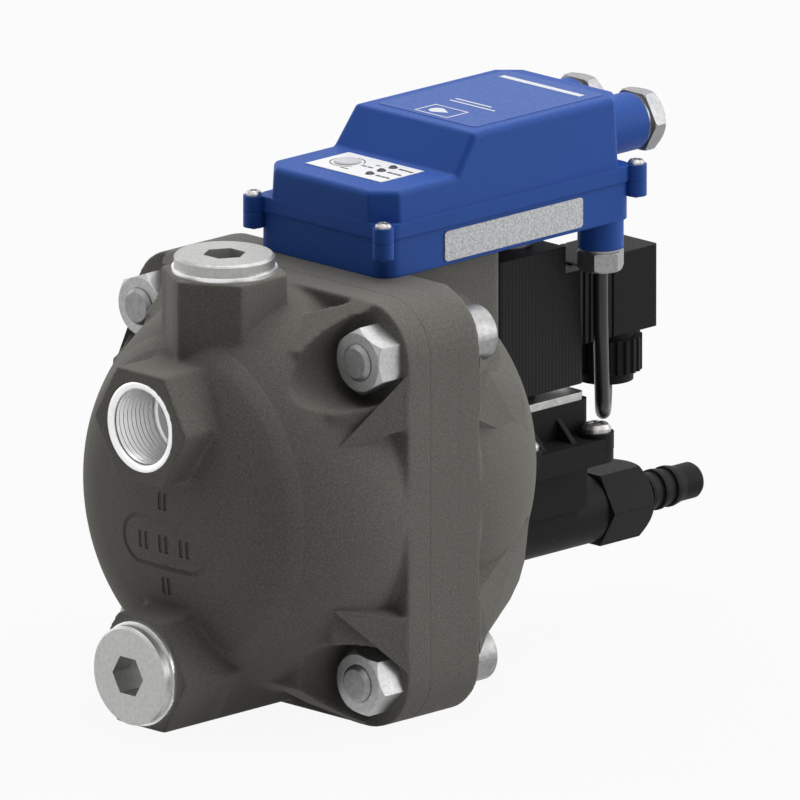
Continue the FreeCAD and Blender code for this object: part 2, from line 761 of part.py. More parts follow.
def lid_form(inset, low_z):
    """Form of the lid above its rim, with every face moved in by inset."""
    front = BOX_FRONT_Y + inset
    rear = BOX_REAR_Y - inset
    slope = inset / 2
    side = [V(0, front, low_z), V(0, front, STEP_Z - inset), V(0, LID_SLOPE_START_Y + slope, STEP_Z - inset),
            V(0, LID_SLOPE_END_Y + slope, TALL_Z - inset), V(0, rear, TALL_Z - inset), V(0, rear, low_z)]
    side.append(side[0])
    long_form = Part.Face(Part.makePolygon(side)).extrude(X_DIR * BOX_HALF_W * 2)
    long_form.translate(V(-BOX_HALF_W, 0, 0))
    cut = LID_CORNER_CUT - slope
    foot = cut_corner_plan(LID_HALF_W - inset, front, rear, cut, low_z)
    head = cut_corner_plan(LID_TOP_HALF_W - inset, front, rear, cut, TALL_Z)
    return long_form.common(Part.makeLoft([foot, head], True, True))


def rounded_lid_form():
    form = lid_form(0, RIM_Z)
    soft = [edge for edge in form.Edges if edge.BoundBox.ZMax > RIM_Z + 1]
    return form.makeFillet(LID_EDGE_R, soft)


def gland_places():
    return (-GLAND_X, GLAND_X)


def box_lid():
    rim = box_slab(RIM_OVERHANG, RIM_Z, RIM_TOP_Z, BOX_CORNER_R).fuse(ears(RIM_Z, RIM_TOP_Z))
    lid = rim.fuse(rounded_lid_form())
    bosses = []
    for x in gland_places():
        start = V(x, BOX_REAR_Y - LID_WALL, GLAND_Z)
        bosses.append(rod(GLAND_BOSS_R, start, Y_DIR, GLAND_BOSS_END_Y - start.y))
    lid = lid.fuse(bosses).cut(lid_form(LID_WALL, RIM_Z))
    cuts = ear_holes(RIM_Z, RIM_TOP_Z)
    for x in gland_places():
        cuts.append(rod(GLAND_THREAD_R + FIT_GAP, V(x, BOX_REAR_Y - 2 * LID_WALL, GLAND_Z), Y_DIR,
                        GLAND_BOSS_END_Y - BOX_REAR_Y + 2 * LID_WALL))
    for y in LAMP_YS:
        cuts.append(rod(LAMP_R + FIT_GAP, V(LAMP_X, y, STEP_Z), V(0, 0, -1), 2 * LID_WALL))
    cuts.append(rod(BUTTON_R + FIT_GAP, V(BUTTON_X, BUTTON_Y, STEP_Z), V(0, 0, -1), 2 * LID_WALL))
    return lid.cut(cuts).removeSplitter()


def cross_recess(centre, axis, across, reach, depth):
    """Two crossed slots for a screwdriver, cut down from centre against the axis."""
    slot = block(-reach, reach, -across / 2, across / 2, -depth, 0)
    slot = slot.fuse(block(-across / 2, across / 2, -reach, reach, -depth, 0))
    slot.Placement = FreeCAD.Placement(centre, FreeCAD.Rotation(Z_DIR, axis))
    return slot


def pan_screw(place, axis, head_r, head_h, shank_r, shank_l):
    """Screw with a low round head and a cross recess; place is under the head."""
    outline = [(0, 0), (head_r, 0), (head_r, head_h * 0.45), (head_r * 0.8, head_h * 0.85),
               (head_r * 0.45, head_h), (0, head_h)]
    head = turned(outline, place, axis)
    shank = chamfered_bar(shank_r, place, axis * -1, shank_l, 0, shank_r / 3)
    recess = cross_recess(place + axis * head_h, axis, head_r * 0.28, head_r * 0.6, head_h * 0.6)
    return head.fuse(shank).cut(recess)


def box_lid_screws():
    length = RIM_TOP_Z - RIM_Z + EAR_DROP + LID_SCREW_TAIL
    screws = []
    for x, y in ear_places():
        screws.append(pan_screw(V(x, y, RIM_TOP_Z), Z_DIR, LID_SCREW_HEAD_R, LID_SCREW_HEAD_H,
                                LID_SCREW_R, length))
    return Part.makeCompound(screws)


def box_fixing_screws():
    screws = []
    for x, y in fix_screw_places():
        screws.append(pan_screw(V(x, y, FLOOR_Z), Z_DIR, FIX_SCREW_HEAD_R, FIX_SCREW_HEAD_H,
                                FIX_SCREW_R, BASE_FLOOR + FIX_SCREW_DEPTH))
    return Part.makeCompound(screws)


def circuit_board():
    board = block(-BOARD_HALF_W, BOARD_HALF_W, BOARD_FRONT_Y, BOARD_REAR_Y, BOARD_Z, BOARD_TOP_Z)
    corner = block(LEAD_GLAND_X - LEAD_BOSS_R, BOARD_HALF_W, LEAD_GLAND_Y - LEAD_BOSS_R, BOARD_REAR_Y,
                   BOARD_Z, BOARD_TOP_Z)
    switch = block(BUTTON_X - SWITCH_HALF_W, BUTTON_X + SWITCH_HALF_W, BUTTON_Y - SWITCH_HALF_W,
                   BUTTON_Y + SWITCH_HALF_W, BOARD_TOP_Z, BOARD_TOP_Z + SWITCH_H)
    return board.cut(corner).fuse(switch)


def terminal_block():
    bar = block(-TERMINAL_HALF_W, TERMINAL_HALF_W, TERMINAL_FRONT_Y, TERMINAL_FRONT_Y + TERMINAL_DEPTH,
                BOARD_TOP_Z, BOARD_TOP_Z + TERMINAL_H)
    pitch = 2 * TERMINAL_HALF_W / TERMINAL_WAYS
    rear = TERMINAL_FRONT_Y + TERMINAL_DEPTH
    slots = []
    for way in range(TERMINAL_WAYS):
        x = -TERMINAL_HALF_W + pitch * (way + 0.5)
        z = BOARD_TOP_Z + TERMINAL_SLOT / 2
        slots.append(block(x - TERMINAL_SLOT / 2, x + TERMINAL_SLOT / 2, rear - TERMINAL_SLOT_DEPTH, rear,
                           z, z + TERMINAL_SLOT))
    return bar.cut(slots)


def status_lamps():
    lamps = []
    top = STEP_Z + LABEL_T + LAMP_PROUD
    for y in LAMP_YS:
        lamps.append(chamfered_bar(LAMP_R, V(LAMP_X, y, BOARD_TOP_Z), Z_DIR, top - BOARD_TOP_Z,
                                   0, LAMP_R / 3))
    return Part.makeCompound(lamps)


def display_label():
    label = block(LABEL_X0, LABEL_X1, LABEL_Y0, LABEL_Y1, STEP_Z, STEP_Z + LABEL_T)
    holes = [rod(LAMP_R + FIT_GAP, V(LAMP_X, y, STEP_Z), Z_DIR, LABEL_T) for y in LAMP_YS]
    holes.append(rod(BUTTON_R + FIT_GAP, V(BUTTON_X, BUTTON_Y, STEP_Z), Z_DIR, LABEL_T))
    return label.cut(holes)


def test_button():
    collar_top = STEP_Z - LID_WALL - BUTTON_REST_GAP
    collar_low = collar_top - BUTTON_COLLAR_H
    top = STEP_Z + LABEL_T + BUTTON_PROUD
    stem_low = BOARD_TOP_Z + SWITCH_H + BUTTON_TRAVEL + BUTTON_REST_GAP
    outline = [(0, stem_low), (BUTTON_STEM_R, stem_low), (BUTTON_STEM_R, collar_low),
               (BUTTON_COLLAR_R, collar_low), (BUTTON_COLLAR_R, collar_top), (BUTTON_R, collar_top),
               (BUTTON_R, top - BUTTON_PROUD / 2), (BUTTON_R - BUTTON_PROUD / 2, top), (0, top)]
    return turned(outline, V(BUTTON_X, BUTTON_Y, 0), Z_DIR)


def name_plate():
    z0 = BOX_LOW_Z + PLATE_MARGIN
    z1 = RIM_Z - PLATE_MARGIN
    return rounded_block(BOX_HALF_W, BOX_HALF_W + PLATE_T, PLATE_Y0, PLATE_Y1, z0, z1, PLATE_MARGIN, X_DIR)


def top_film():
    return rounded_block(-FILM_HALF_W, FILM_HALF_W, FILM_Y0, FILM_Y1, TALL_Z, TALL_Z + FILM_T,
                         LID_EDGE_R, Z_DIR)


# Cable glands: each has a body screwed into its boss, a nut and a rubber seal
def gland_body(base, axis, thread_r, thread_l, collar_r, collar, neck_r, neck, bore_r):
    outline = [(bore_r, -thread_l), (thread_r, -thread_l), (thread_r, 0), (collar_r, 0),
               (collar_r, collar), (neck_r, collar), (neck_r, collar + neck), (bore_r, collar + neck)]
    return turned(outline, base, axis)


def gland_nut(base, axis, across_flats, length, neck_r, neck, mouth_r):
    corner = X_DIR
    nut = hex_nut(across_flats, base, axis, length, corner, across_flats * 0.03, across_flats * 0.08)
    hollow = rod(neck_r + FIT_GAP, base, axis, neck + FIT_GAP)
    return nut.cut([hollow, rod(mouth_r, base, axis, length)])


def rear_gland_body(x):
    thread_l = GLAND_BOSS_END_Y - BOX_REAR_Y
    return gland_body(V(x, GLAND_BOSS_END_Y, GLAND_Z), Y_DIR, GLAND_THREAD_R, thread_l,
                      GLAND_COLLAR_R, GLAND_COLLAR, GLAND_NECK_R, GLAND_NECK, GLAND_BORE_R)


def rear_gland_nut(x):
    base = V(x, GLAND_BOSS_END_Y + GLAND_COLLAR, GLAND_Z)
    return gland_nut(base, Y_DIR, GLAND_NUT_AF, GLAND_NUT_H, GLAND_NECK_R, GLAND_NECK, GLAND_MOUTH_R)


def rear_gland_seal(x):
    end = GLAND_BOSS_END_Y + GLAND_COLLAR + GLAND_NECK
    return ring(GLAND_SEAL_R, GLAND_BORE_R - FIT_GAP / 2, V(x, end - GLAND_SEAL_L, GLAND_Z), Y_DIR,
                GLAND_SEAL_L)


def power_gland_body():
    return rear_gland_body(-GLAND_X)


def power_gland_nut():
    return rear_gland_nut(-GLAND_X)


def power_gland_seal():
    return rear_gland_seal(-GLAND_X)


def signal_gland_body():
    return rear_gland_body(GLAND_X)


def signal_gland_nut():
    return rear_gland_nut(GLAND_X)


def signal_gland_seal():
    return rear_gland_seal(GLAND_X)


def lead_gland_body():
    base = V(LEAD_GLAND_X, LEAD_GLAND_Y, LEAD_BOSS_Z)
    return gland_body(base, V(0, 0, -1), LEAD_THREAD_R, LEAD_BOSS_DROP, LEAD_COLLAR_R, LEAD_COLLAR,
                      LEAD_NECK_R, LEAD_NECK, LEAD_R + 2 * FIT_GAP)


def lead_gland_nut():
    base = V(LEAD_GLAND_X, LEAD_GLAND_Y, LEAD_BOSS_Z - LEAD_COLLAR)
    return gland_nut(base, V(0, 0, -1), LEAD_NUT_AF, LEAD_NUT_H, LEAD_NECK_R, LEAD_NECK,
                     LEAD_R + 2 * FIT_GAP)


# Lead from the box to the solenoid's plug
def lead_route():
    """Points of the route: down out of the gland, over beside the valve, and up into the plug."""
    start = V(LEAD_GLAND_X, LEAD_GLAND_Y, 0)
    across = V(0, PLUG_NUT_Y, 0) - start
    reach = across.Length
    across.normalize()
    near = start + across * (reach - LEAD_TURN)
    far = start + across * reach
    return [start + V(0, 0, LEAD_BOSS_Z), start + V(0, 0, LEAD_BEND_Z), near + V(0, 0, LEAD_LOW_Z),
            far + V(0, 0, LEAD_LOW_Z), far + V(0, 0, LEAD_END_Z)]


def rounded_path(points):
    """Straight runs joined by tangent arcs, with the arcs' radii."""
    edges = []
    radii = []
    last = points[0]
    for before, corner, after in zip(points, points[1:], points[2:]):
        back = before - corner
        ahead = after - corner
        turn = math.pi - back.getAngle(ahead)
        cut = ARC_SHARE * min(back.Length, ahead.Length)
        radius = cut / math.tan(turn / 2)
        back.normalize()
        ahead.normalize()
        middle = back + ahead
        middle.normalize()
        first = corner + back * cut
        second = corner + ahead * cut
        sagitta = radius / math.cos(turn / 2) - radius
        edges.append(Part.LineSegment(last, first).toShape())
        edges.append(Part.Arc(first, corner + middle * sagitta, second).toShape())
        radii.append(radius)
        last = second
    edges.append(Part.LineSegment(last, points[-1]).toShape())
    return Part.Wire(edges), radii


def solenoid_lead():
    points = lead_route()
    path, radii = rounded_path(points)
    circle = Part.makeCircle(LEAD_R, points[0], V(0, 0, -1))
    tube = path.makePipeShell([Part.Wire([circle])], True, True)
    print("lead: radii", [round(radius, 1) for radius in radii], "length", round(path.Length, 1),
          "volume share", round(tube.Volume / (math.pi * LEAD_R ** 2 * path.Length), 4))
    return tube


# Solenoid
def coil():
    body = rounded_block(-COIL_HALF_W, COIL_HALF_W, COIL_FRONT_Y, COIL_REAR_Y, COIL_LOW_Z, COIL_TOP_Z,
                         COIL_EDGE_R, Z_DIR)
    body = body.cut(block(-COIL_HALF_W, COIL_HALF_W, COIL_SHOULDER_Y, COIL_REAR_Y, COIL_SHOULDER_Z,
                          COIL_TOP_Z))
    return body.cut(rod(COIL_BORE_R, V(0, VALVE_Y, COIL_LOW_Z), Z_DIR, COIL_TOP_Z - COIL_LOW_Z))


def core_tube():
    low = PLATE_LOW_Z - TUBE_FLANGE_T
    stud_low = COIL_TOP_Z
    stud_top = COIL_TOP_Z + TUBE_STUD
    outline = [(TUBE_BORE_R, low), (TUBE_FLANGE_R, low), (TUBE_FLANGE_R, PLATE_LOW_Z),
               (TUBE_R, PLATE_LOW_Z), (TUBE_R, stud_low), (TUBE_STUD_R, stud_low),
               (TUBE_STUD_R, stud_top), (0, stud_top), (0, TUBE_STOP_Z), (TUBE_BORE_R, TUBE_STOP_Z)]
    return turned(outline, V(0, VALVE_Y, 0), Z_DIR)


def coil_washer():
    return ring(TUBE_STUD_R + FIT_GAP, COIL_WASHER_R, V(0, VALVE_Y, COIL_TOP_Z), Z_DIR, COIL_WASHER_T)


def coil_nut():
    base = V(0, VALVE_Y, COIL_TOP_Z + COIL_WASHER_T)
    nut = hex_nut(COIL_NUT_AF, base, Z_DIR, COIL_NUT_H, X_DIR, 0, COIL_NUT_H / 5)
    return nut.cut(rod(TUBE_STUD_R + FIT_GAP, base, Z_DIR, COIL_NUT_H))


def plunger():
    body = chamfered_bar(PLUNGER_R, V(0, VALVE_Y, PLUNGER_LOW_Z), Z_DIR, PLUNGER_TOP_Z - PLUNGER_LOW_Z,
                         PLUNGER_R / 4, 0)
    spring_hole = rod(PLUNGER_SPRING_HOLE_R, V(0, VALVE_Y, PLUNGER_TOP_Z), V(0, 0, -1), PLUNGER_SPRING_HOLE)
    seal_seat = rod(PLUNGER_SEAL_R, V(0, VALVE_Y, PLUNGER_LOW_Z), Z_DIR, PLUNGER_SEAL_DEPTH)
    return body.cut([spring_hole, seal_seat])


def plunger_seal():
    return rod(PLUNGER_SEAL_R, V(0, VALVE_Y, PLUNGER_LOW_Z - PLUNGER_SEAL_PROUD), Z_DIR,
               PLUNGER_SEAL_PROUD + PLUNGER_SEAL_DEPTH)


def plunger_spring():
    low = PLUNGER_TOP_Z - PLUNGER_SPRING_HOLE
    return spring(SPRING_WIRE_R, PLUNGER_SPRING_R, V(0, VALVE_Y, low), TUBE_STOP_Z - low)


# Plug on the solenoid
def plug_gasket():
    return rounded_block(-PLUG_BODY_HALF_W - GASKET_PROUD, PLUG_BODY_HALF_W + GASKET_PROUD, COIL_REAR_Y,
                         COIL_REAR_Y + GASKET_T, PLUG_BODY_LOW_Z - GASKET_PROUD,
                         PLUG_BODY_TOP_Z + GASKET_PROUD, PLUG_BODY_EDGE_R, Y_DIR)


def plug_housing():
    front = COIL_REAR_Y + GASKET_T
    body = rounded_block(-PLUG_BODY_HALF_W, PLUG_BODY_HALF_W, front, PLUG_BODY_REAR_Y, PLUG_BODY_LOW_Z,
                         PLUG_BODY_TOP_Z, PLUG_BODY_EDGE_R, Z_DIR)
    neck = rod(PLUG_NECK_R, V(0, PLUG_NUT_Y, PLUG_NECK_LOW_Z), Z_DIR, PLUG_BODY_LOW_Z - PLUG_NECK_LOW_Z)
    cuts = [rod(LEAD_R + FIT_GAP, V(0, PLUG_NUT_Y, PLUG_NECK_LOW_Z), Z_DIR, LEAD_END_Z - PLUG_NECK_LOW_Z)]
    for step in range(RIB_COUNT):
        y = RIB_START_Y + RIB_PITCH * step
        for x in (-PLUG_BODY_HALF_W, PLUG_BODY_HALF_W - RIB_DEPTH):
            cuts.append(block(x, x + RIB_DEPTH, y, y + RIB_WIDTH, PLUG_BODY_LOW_Z, PLUG_BODY_TOP_Z))
    cuts.append(rod(PLUG_SCREW_R + FIT_GAP, V(0, PLUG_BODY_REAR_Y, PLUG_SCREW_Z), V(0, -1, 0),
                    PLUG_SCREW_DEPTH + 1))
    return body.fuse(neck).cut(cuts).removeSplitter()


def plug_screw():
    return pan_screw(V(0, PLUG_BODY_REAR_Y, PLUG_SCREW_Z), Y_DIR, PLUG_SCREW_HEAD_R, PLUG_SCREW_HEAD_H,
                     PLUG_SCREW_R, PLUG_SCREW_DEPTH)


def plug_gland_nut():
    neck_gap = PLUG_NECK_R + FIT_GAP
    hole = LEAD_R + FIT_GAP
    outline = [(hole, PLUG_RING_LOW_Z), (PLUG_RING_R, PLUG_RING_LOW_Z), (PLUG_RING_R, PLUG_NUT_LOW_Z),
               (PLUG_NUT_R, PLUG_NUT_LOW_Z), (PLUG_NUT_R, PLUG_NUT_TOP_Z), (neck_gap, PLUG_NUT_TOP_Z),
               (neck_gap, PLUG_NECK_LOW_Z), (hole, PLUG_NECK_LOW_Z)]
    nut = turned(outline, V(0, PLUG_NUT_Y, 0), Z_DIR)
    flutes = []
    for step in range(PLUG_NUT_FLUTES):
        angle = 2 * math.pi * step / PLUG_NUT_FLUTES
        place = V(PLUG_NUT_R * math.cos(angle), PLUG_NUT_Y + PLUG_NUT_R * math.sin(angle), PLUG_NUT_LOW_Z)
        flutes.append(rod(PLUG_NUT_FLUTE_R, place, Z_DIR, PLUG_NUT_TOP_Z - PLUG_NUT_LOW_Z))
    return nut.cut(flutes)


# Valve
def cap_screw_places():
    places = []
    for x in (-CAP_SCREW_X, CAP_SCREW_X):
        for y in CAP_SCREW_YS:
            places.append((x, y))
    return places


def mount_screw_places():
    places = []
    for x in (-MOUNT_SCREW_X, MOUNT_SCREW_X):
        for z in MOUNT_SCREW_ZS:
            places.append((x, z))
    return places


def shelf(z0, z1):
    return rounded_block(-SHELF_HALF_W, SHELF_HALF_W, SHELF_FRONT_Y, SHELF_REAR_Y, z0, z1,
                         SHELF_CORNER_R, Z_DIR)


def steel_plate():
    plate = rounded_block(-CAP_HALF_W, CAP_HALF_W, CAP_FRONT_Y, COIL_REAR_Y, PLATE_LOW_Z, STEEL_TOP_Z,
                          COIL_EDGE_R, Z_DIR)
    return plate.cut(rod(TUBE_R + FIT_GAP, V(0, VALVE_Y, PLATE_LOW_Z), Z_DIR, STEEL_PLATE_T))


def coil_spacer():
    return ring(TUBE_R + FIT_GAP, TUBE_FLANGE_R, V(0, VALVE_Y, STEEL_TOP_Z), Z_DIR, COIL_LOW_Z - STEEL_TOP_Z)


def cap_rib(y, side):
    """Triangular stiffening rib on the side of the cap."""
    root = side * (CAP_HALF_W - 1)
    corners = [V(root, y, SPLIT_Z + SHELF_T), V(side * (CAP_HALF_W + CAP_RIB_REACH), y, SPLIT_Z + SHELF_T),
               V(side * CAP_HALF_W, y, CAP_RIB_TOP_Z), V(root, y, CAP_RIB_TOP_Z)]
    corners.append(corners[0])
    return Part.Face(Part.makePolygon(corners)).extrude(Y_DIR * CAP_RIB_T)


def valve_cap():
    cap = rounded_block(-CAP_HALF_W, CAP_HALF_W, CAP_FRONT_Y, CAP_REAR_Y, SPLIT_Z, PLATE_LOW_Z,
                        COIL_EDGE_R, Z_DIR)
    pieces = [shelf(SPLIT_Z, SPLIT_Z + SHELF_T)]
    for x, y in cap_screw_places():
        pieces.append(rod(SHELF_CORNER_R, V(x, y, SPLIT_Z), Z_DIR, SHELF_T + CAP_SCREW_BOSS))
    for y in CAP_RIB_YS:
        pieces.append(cap_rib(y, 1))
        pieces.append(cap_rib(y, -1))
    cap = cap.fuse(pieces)
    cuts = [rod(CHAMBER_R, V(0, VALVE_Y, SPLIT_Z), Z_DIR, CAP_CHAMBER_TOP_Z - SPLIT_Z),
            rod(CORE_RECESS_R, V(0, VALVE_Y, PLUNGER_LOW_Z - PLUNGER_SEAL_PROUD - 1), Z_DIR, PLATE_LOW_Z),
            rod(PILOT_HOLE_R, V(0, VALVE_Y, SPLIT_Z), Z_DIR, PLATE_LOW_Z - SPLIT_Z)]
    for x, y in cap_screw_places():
        top = SPLIT_Z + SHELF_T + CAP_SCREW_BOSS
        cuts.append(rod(CAP_SCREW_R + FIT_GAP, V(x, y, SPLIT_Z), Z_DIR, top - SPLIT_Z))
    cap = cap.cut(cuts)
    seat_low = PLUNGER_LOW_Z - PLUNGER_SEAL_PROUD - 1
    seat = ring(PILOT_HOLE_R, PILOT_SEAT_R, V(0, VALVE_Y, seat_low), Z_DIR, 1)
    return cap.fuse(seat).removeSplitter()


def diaphragm():
    """Moulded membrane: a flat clamped rim, a sloping web and a flat middle on the disc."""
    low = DIAPHRAGM_LOW_Z
    drop = SPLIT_Z - DISC_TOP_Z
    outline = [(DIAPHRAGM_HOLE_R, low - drop), (DISC_R, low - drop), (CHAMBER_R, low), (DIAPHRAGM_R, low),
               (DIAPHRAGM_R, SPLIT_Z), (CHAMBER_R, SPLIT_Z), (DISC_R, DISC_TOP_Z),
               (DIAPHRAGM_HOLE_R, DISC_TOP_Z)]
    return turned(outline, V(0, VALVE_Y, 0), Z_DIR)


def valve_disc():
    """Disc below the membrane, the hub through it and the washer that clamps it from above."""
    low = DIAPHRAGM_LOW_Z - (SPLIT_Z - DISC_TOP_Z)
    top = DISC_TOP_Z + DISC_CAP_T
    outline = [(0, SEAT_Z), (DISC_R, SEAT_Z), (DISC_R, low), (DISC_HUB_R, low), (DISC_HUB_R, DISC_TOP_Z),
               (DISC_CAP_R, DISC_TOP_Z), (DISC_CAP_R, top), (0, top)]
    return turned(outline, V(0, VALVE_Y, 0), Z_DIR)


def diaphragm_spring():
    low = DISC_TOP_Z + DISC_CAP_T
    return spring(SPRING_WIRE_R, DIAPHRAGM_SPRING_R, V(0, VALVE_Y, low), CAP_CHAMBER_TOP_Z - low)


def valve_body():
    barrel = rod(BODY_R, V(0, REAR_FLAT_Y, FLOW_Z), Y_DIR, BODY_END_Y - REAR_FLAT_Y)
    mount = rounded_block(-MOUNT_PLATE_HALF_W, MOUNT_PLATE_HALF_W, REAR_FLAT_Y,
                          REAR_FLAT_Y + MOUNT_PLATE_T, MOUNT_PLATE_LOW_Z, MOUNT_PLATE_TOP_Z,
                          MOUNT_SCREW_HEAD_R, Y_DIR)
    web = block(-BODY_HALF_W, BODY_HALF_W, BODY_BLOCK_Y0, BODY_BLOCK_Y1, FLOW_Z + BODY_R / 2, SPLIT_Z)
    neck = block(-BODY_R, BODY_R, BODY_BLOCK_Y0, BODY_BLOCK_Y1, FLOW_Z, FLOW_Z + BODY_R)
    body = barrel.fuse([mount, web, neck, shelf(SPLIT_Z - SHELF_T, SPLIT_Z)])
    chamber = ring(SEAT_R, CHAMBER_R, V(0, VALVE_Y, BODY_CHAMBER_Z), Z_DIR, SPLIT_Z - BODY_CHAMBER_Z)
    above_seat = rod(CHAMBER_R, V(0, VALVE_Y, SEAT_Z), Z_DIR, SPLIT_Z - SEAT_Z)
    rim = rod(DIAPHRAGM_R, V(0, VALVE_Y, DIAPHRAGM_LOW_Z), Z_DIR, DIAPHRAGM_T)
    inlet = rod(FLOW_R, V(0, REAR_FLAT_Y, FLOW_Z), Y_DIR, INLET_END_Y - REAR_FLAT_Y)
    rise = rod(INLET_DRILL_R, V(0, INLET_DRILL_Y, FLOW_Z), Z_DIR, BODY_CHAMBER_Z - FLOW_Z)
    seat_bore = rod(SEAT_BORE_R, V(0, VALVE_Y, FLOW_Z), Z_DIR, SEAT_Z - FLOW_Z)
    outlet = rod(FLOW_R, V(0, OUTLET_START_Y, FLOW_Z), Y_DIR, TAIL_THREAD_START_Y - OUTLET_START_Y)
    socket = rod(TAIL_THREAD_R + FIT_GAP, V(0, TAIL_THREAD_START_Y, FLOW_Z), Y_DIR,
                 BODY_END_Y - TAIL_THREAD_START_Y)
    seal_seat = rod(INLET_SEAL_R, V(0, REAR_FLAT_Y, FLOW_Z), Y_DIR, INLET_SEAL_T)
    cuts = [chamber, above_seat, rim, inlet, rise, seat_bore, outlet, socket, seal_seat]
    for x, y in cap_screw_places():
        depth = CAP_SCREW_L - CAP_SCREW_BOSS - SHELF_T
        cuts.append(rod(CAP_SCREW_R + FIT_GAP, V(x, y, SPLIT_Z), V(0, 0, -1), depth + FIT_GAP))
    for x, z in mount_screw_places():
        cuts.append(rod(MOUNT_SCREW_R + FIT_GAP, V(x, REAR_FLAT_Y, z), Y_DIR, MOUNT_PLATE_T))
    return body.cut(cuts).removeSplitter()


def valve_inlet_seal():
    return ring(FLOW_R, INLET_SEAL_R, V(0, REAR_FLAT_Y, FLOW_Z), Y_DIR, INLET_SEAL_T)


def cap_screws():
    top = SPLIT_Z + SHELF_T + CAP_SCREW_BOSS
    screws = []
    for x, y in cap_screw_places():
        screws.append(pan_screw(V(x, y, top), Z_DIR, CAP_SCREW_HEAD_R, CAP_SCREW_HEAD_H, CAP_SCREW_R,
                                CAP_SCREW_L))
    return Part.makeCompound(screws)


def valve_mount_screws():
    screws = []
    for x, z in mount_screw_places():
        screws.append(pan_screw(V(x, REAR_FLAT_Y + MOUNT_PLATE_T, z), Y_DIR, MOUNT_SCREW_HEAD_R,
                                MOUNT_SCREW_HEAD_H, MOUNT_SCREW_R, MOUNT_SCREW_L))
    return Part.makeCompound(screws)


# Hose tail
def barb_outline():
    """Corners of the barbs, from the hexagon to the open end."""
    outline = [(TAIL_CORE_R, TAIL_HEX_END_Y)]
    for step in range(BARB_COUNT):
        start = BARB_START_Y + BARB_PITCH * step
        outline.append((TAIL_CORE_R, start))
        outline.append((BARB_R, start))
        outline.append((BARB_R, start + BARB_LAND))
        outline.append((TAIL_CORE_R, start + BARB_PITCH * 0.9))
    outline.append((TAIL_CORE_R, TAIL_END_Y - 1))
    outline.append((TAIL_CORE_R - 0.6, TAIL_END_Y))
    return outline


def hose_tail():
    tail = turned([(0, TAIL_HEX_END_Y)] + barb_outline() + [(0, TAIL_END_Y)], V(0, 0, FLOW_Z), Y_DIR)
    hex_start = BODY_END_Y + TAIL_SEAL_T
    hexagon = hex_nut(TAIL_HEX_AF, V(0, hex_start, FLOW_Z), Y_DIR, TAIL_HEX_END_Y - hex_start, X_DIR,
                      0, TAIL_HEX_CHAMFER)
    thread = rod(TAIL_THREAD_R, V(0, TAIL_THREAD_START_Y, FLOW_Z), Y_DIR, hex_start - TAIL_THREAD_START_Y)
    bore = rod(TAIL_BORE_R, V(0, TAIL_THREAD_START_Y, FLOW_Z), Y_DIR, TAIL_END_Y - TAIL_THREAD_START_Y)
    return tail.fuse([hexagon, thread]).cut(bore).removeSplitter()


def hose_tail_seal():
    return ring(TAIL_THREAD_R + FIT_GAP, TAIL_SEAL_R, V(0, BODY_END_Y, FLOW_Z), Y_DIR, TAIL_SEAL_T)


PIECES = [front_shell, rear_shell, shell_seal, shell_bolts, shell_nuts, top_plug, top_plug_seal, lower_plug,
          lower_plug_seal, level_probe, probe_seal, box_base, box_seal, box_lid, box_lid_screws,
          box_fixing_screws, circuit_board, terminal_block, status_lamps, display_label, test_button,
          name_plate, top_film, power_gland_body, power_gland_nut, power_gland_seal, signal_gland_body,
          signal_gland_nut, signal_gland_seal, lead_gland_body, lead_gland_nut, solenoid_lead, coil,
          core_tube, coil_washer, coil_nut, plunger, plunger_seal, plunger_spring, plug_gasket,
          plug_housing, plug_screw, plug_gland_nut, steel_plate, coil_spacer, valve_cap, diaphragm,
          valve_disc, diaphragm_spring, valve_body, valve_inlet_seal, cap_screws, valve_mount_screws,
          hose_tail, hose_tail_seal]

os.makedirs("parts", exist_ok=True)
for piece in PIECES:
    save(piece.__name__, piece())
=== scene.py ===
import bpy
import bmesh
import json
import math
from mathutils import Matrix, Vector


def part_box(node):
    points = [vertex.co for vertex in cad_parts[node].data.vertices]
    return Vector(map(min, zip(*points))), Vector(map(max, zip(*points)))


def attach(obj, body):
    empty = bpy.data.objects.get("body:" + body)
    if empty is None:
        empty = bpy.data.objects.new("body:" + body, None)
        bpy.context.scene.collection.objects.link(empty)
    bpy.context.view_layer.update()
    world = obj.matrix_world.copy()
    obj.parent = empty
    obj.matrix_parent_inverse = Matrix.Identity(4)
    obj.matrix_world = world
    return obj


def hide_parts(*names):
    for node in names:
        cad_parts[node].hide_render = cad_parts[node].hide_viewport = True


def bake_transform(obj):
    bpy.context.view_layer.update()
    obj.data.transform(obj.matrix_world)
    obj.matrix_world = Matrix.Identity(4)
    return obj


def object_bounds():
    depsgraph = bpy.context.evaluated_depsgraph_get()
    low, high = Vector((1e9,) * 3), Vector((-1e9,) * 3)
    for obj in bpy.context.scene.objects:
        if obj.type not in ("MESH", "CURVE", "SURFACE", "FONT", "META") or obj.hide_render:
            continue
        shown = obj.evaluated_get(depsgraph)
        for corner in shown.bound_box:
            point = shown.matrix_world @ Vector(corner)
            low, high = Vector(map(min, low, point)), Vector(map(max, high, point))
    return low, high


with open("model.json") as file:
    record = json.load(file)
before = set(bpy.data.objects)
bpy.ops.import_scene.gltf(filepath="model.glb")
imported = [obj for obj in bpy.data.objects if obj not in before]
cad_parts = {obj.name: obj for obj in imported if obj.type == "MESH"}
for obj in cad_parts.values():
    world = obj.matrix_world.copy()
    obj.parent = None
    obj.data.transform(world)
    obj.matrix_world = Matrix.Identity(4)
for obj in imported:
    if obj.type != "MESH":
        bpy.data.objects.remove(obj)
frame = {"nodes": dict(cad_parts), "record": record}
NODES = frame["nodes"]
cad_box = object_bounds()
MM = 0.001

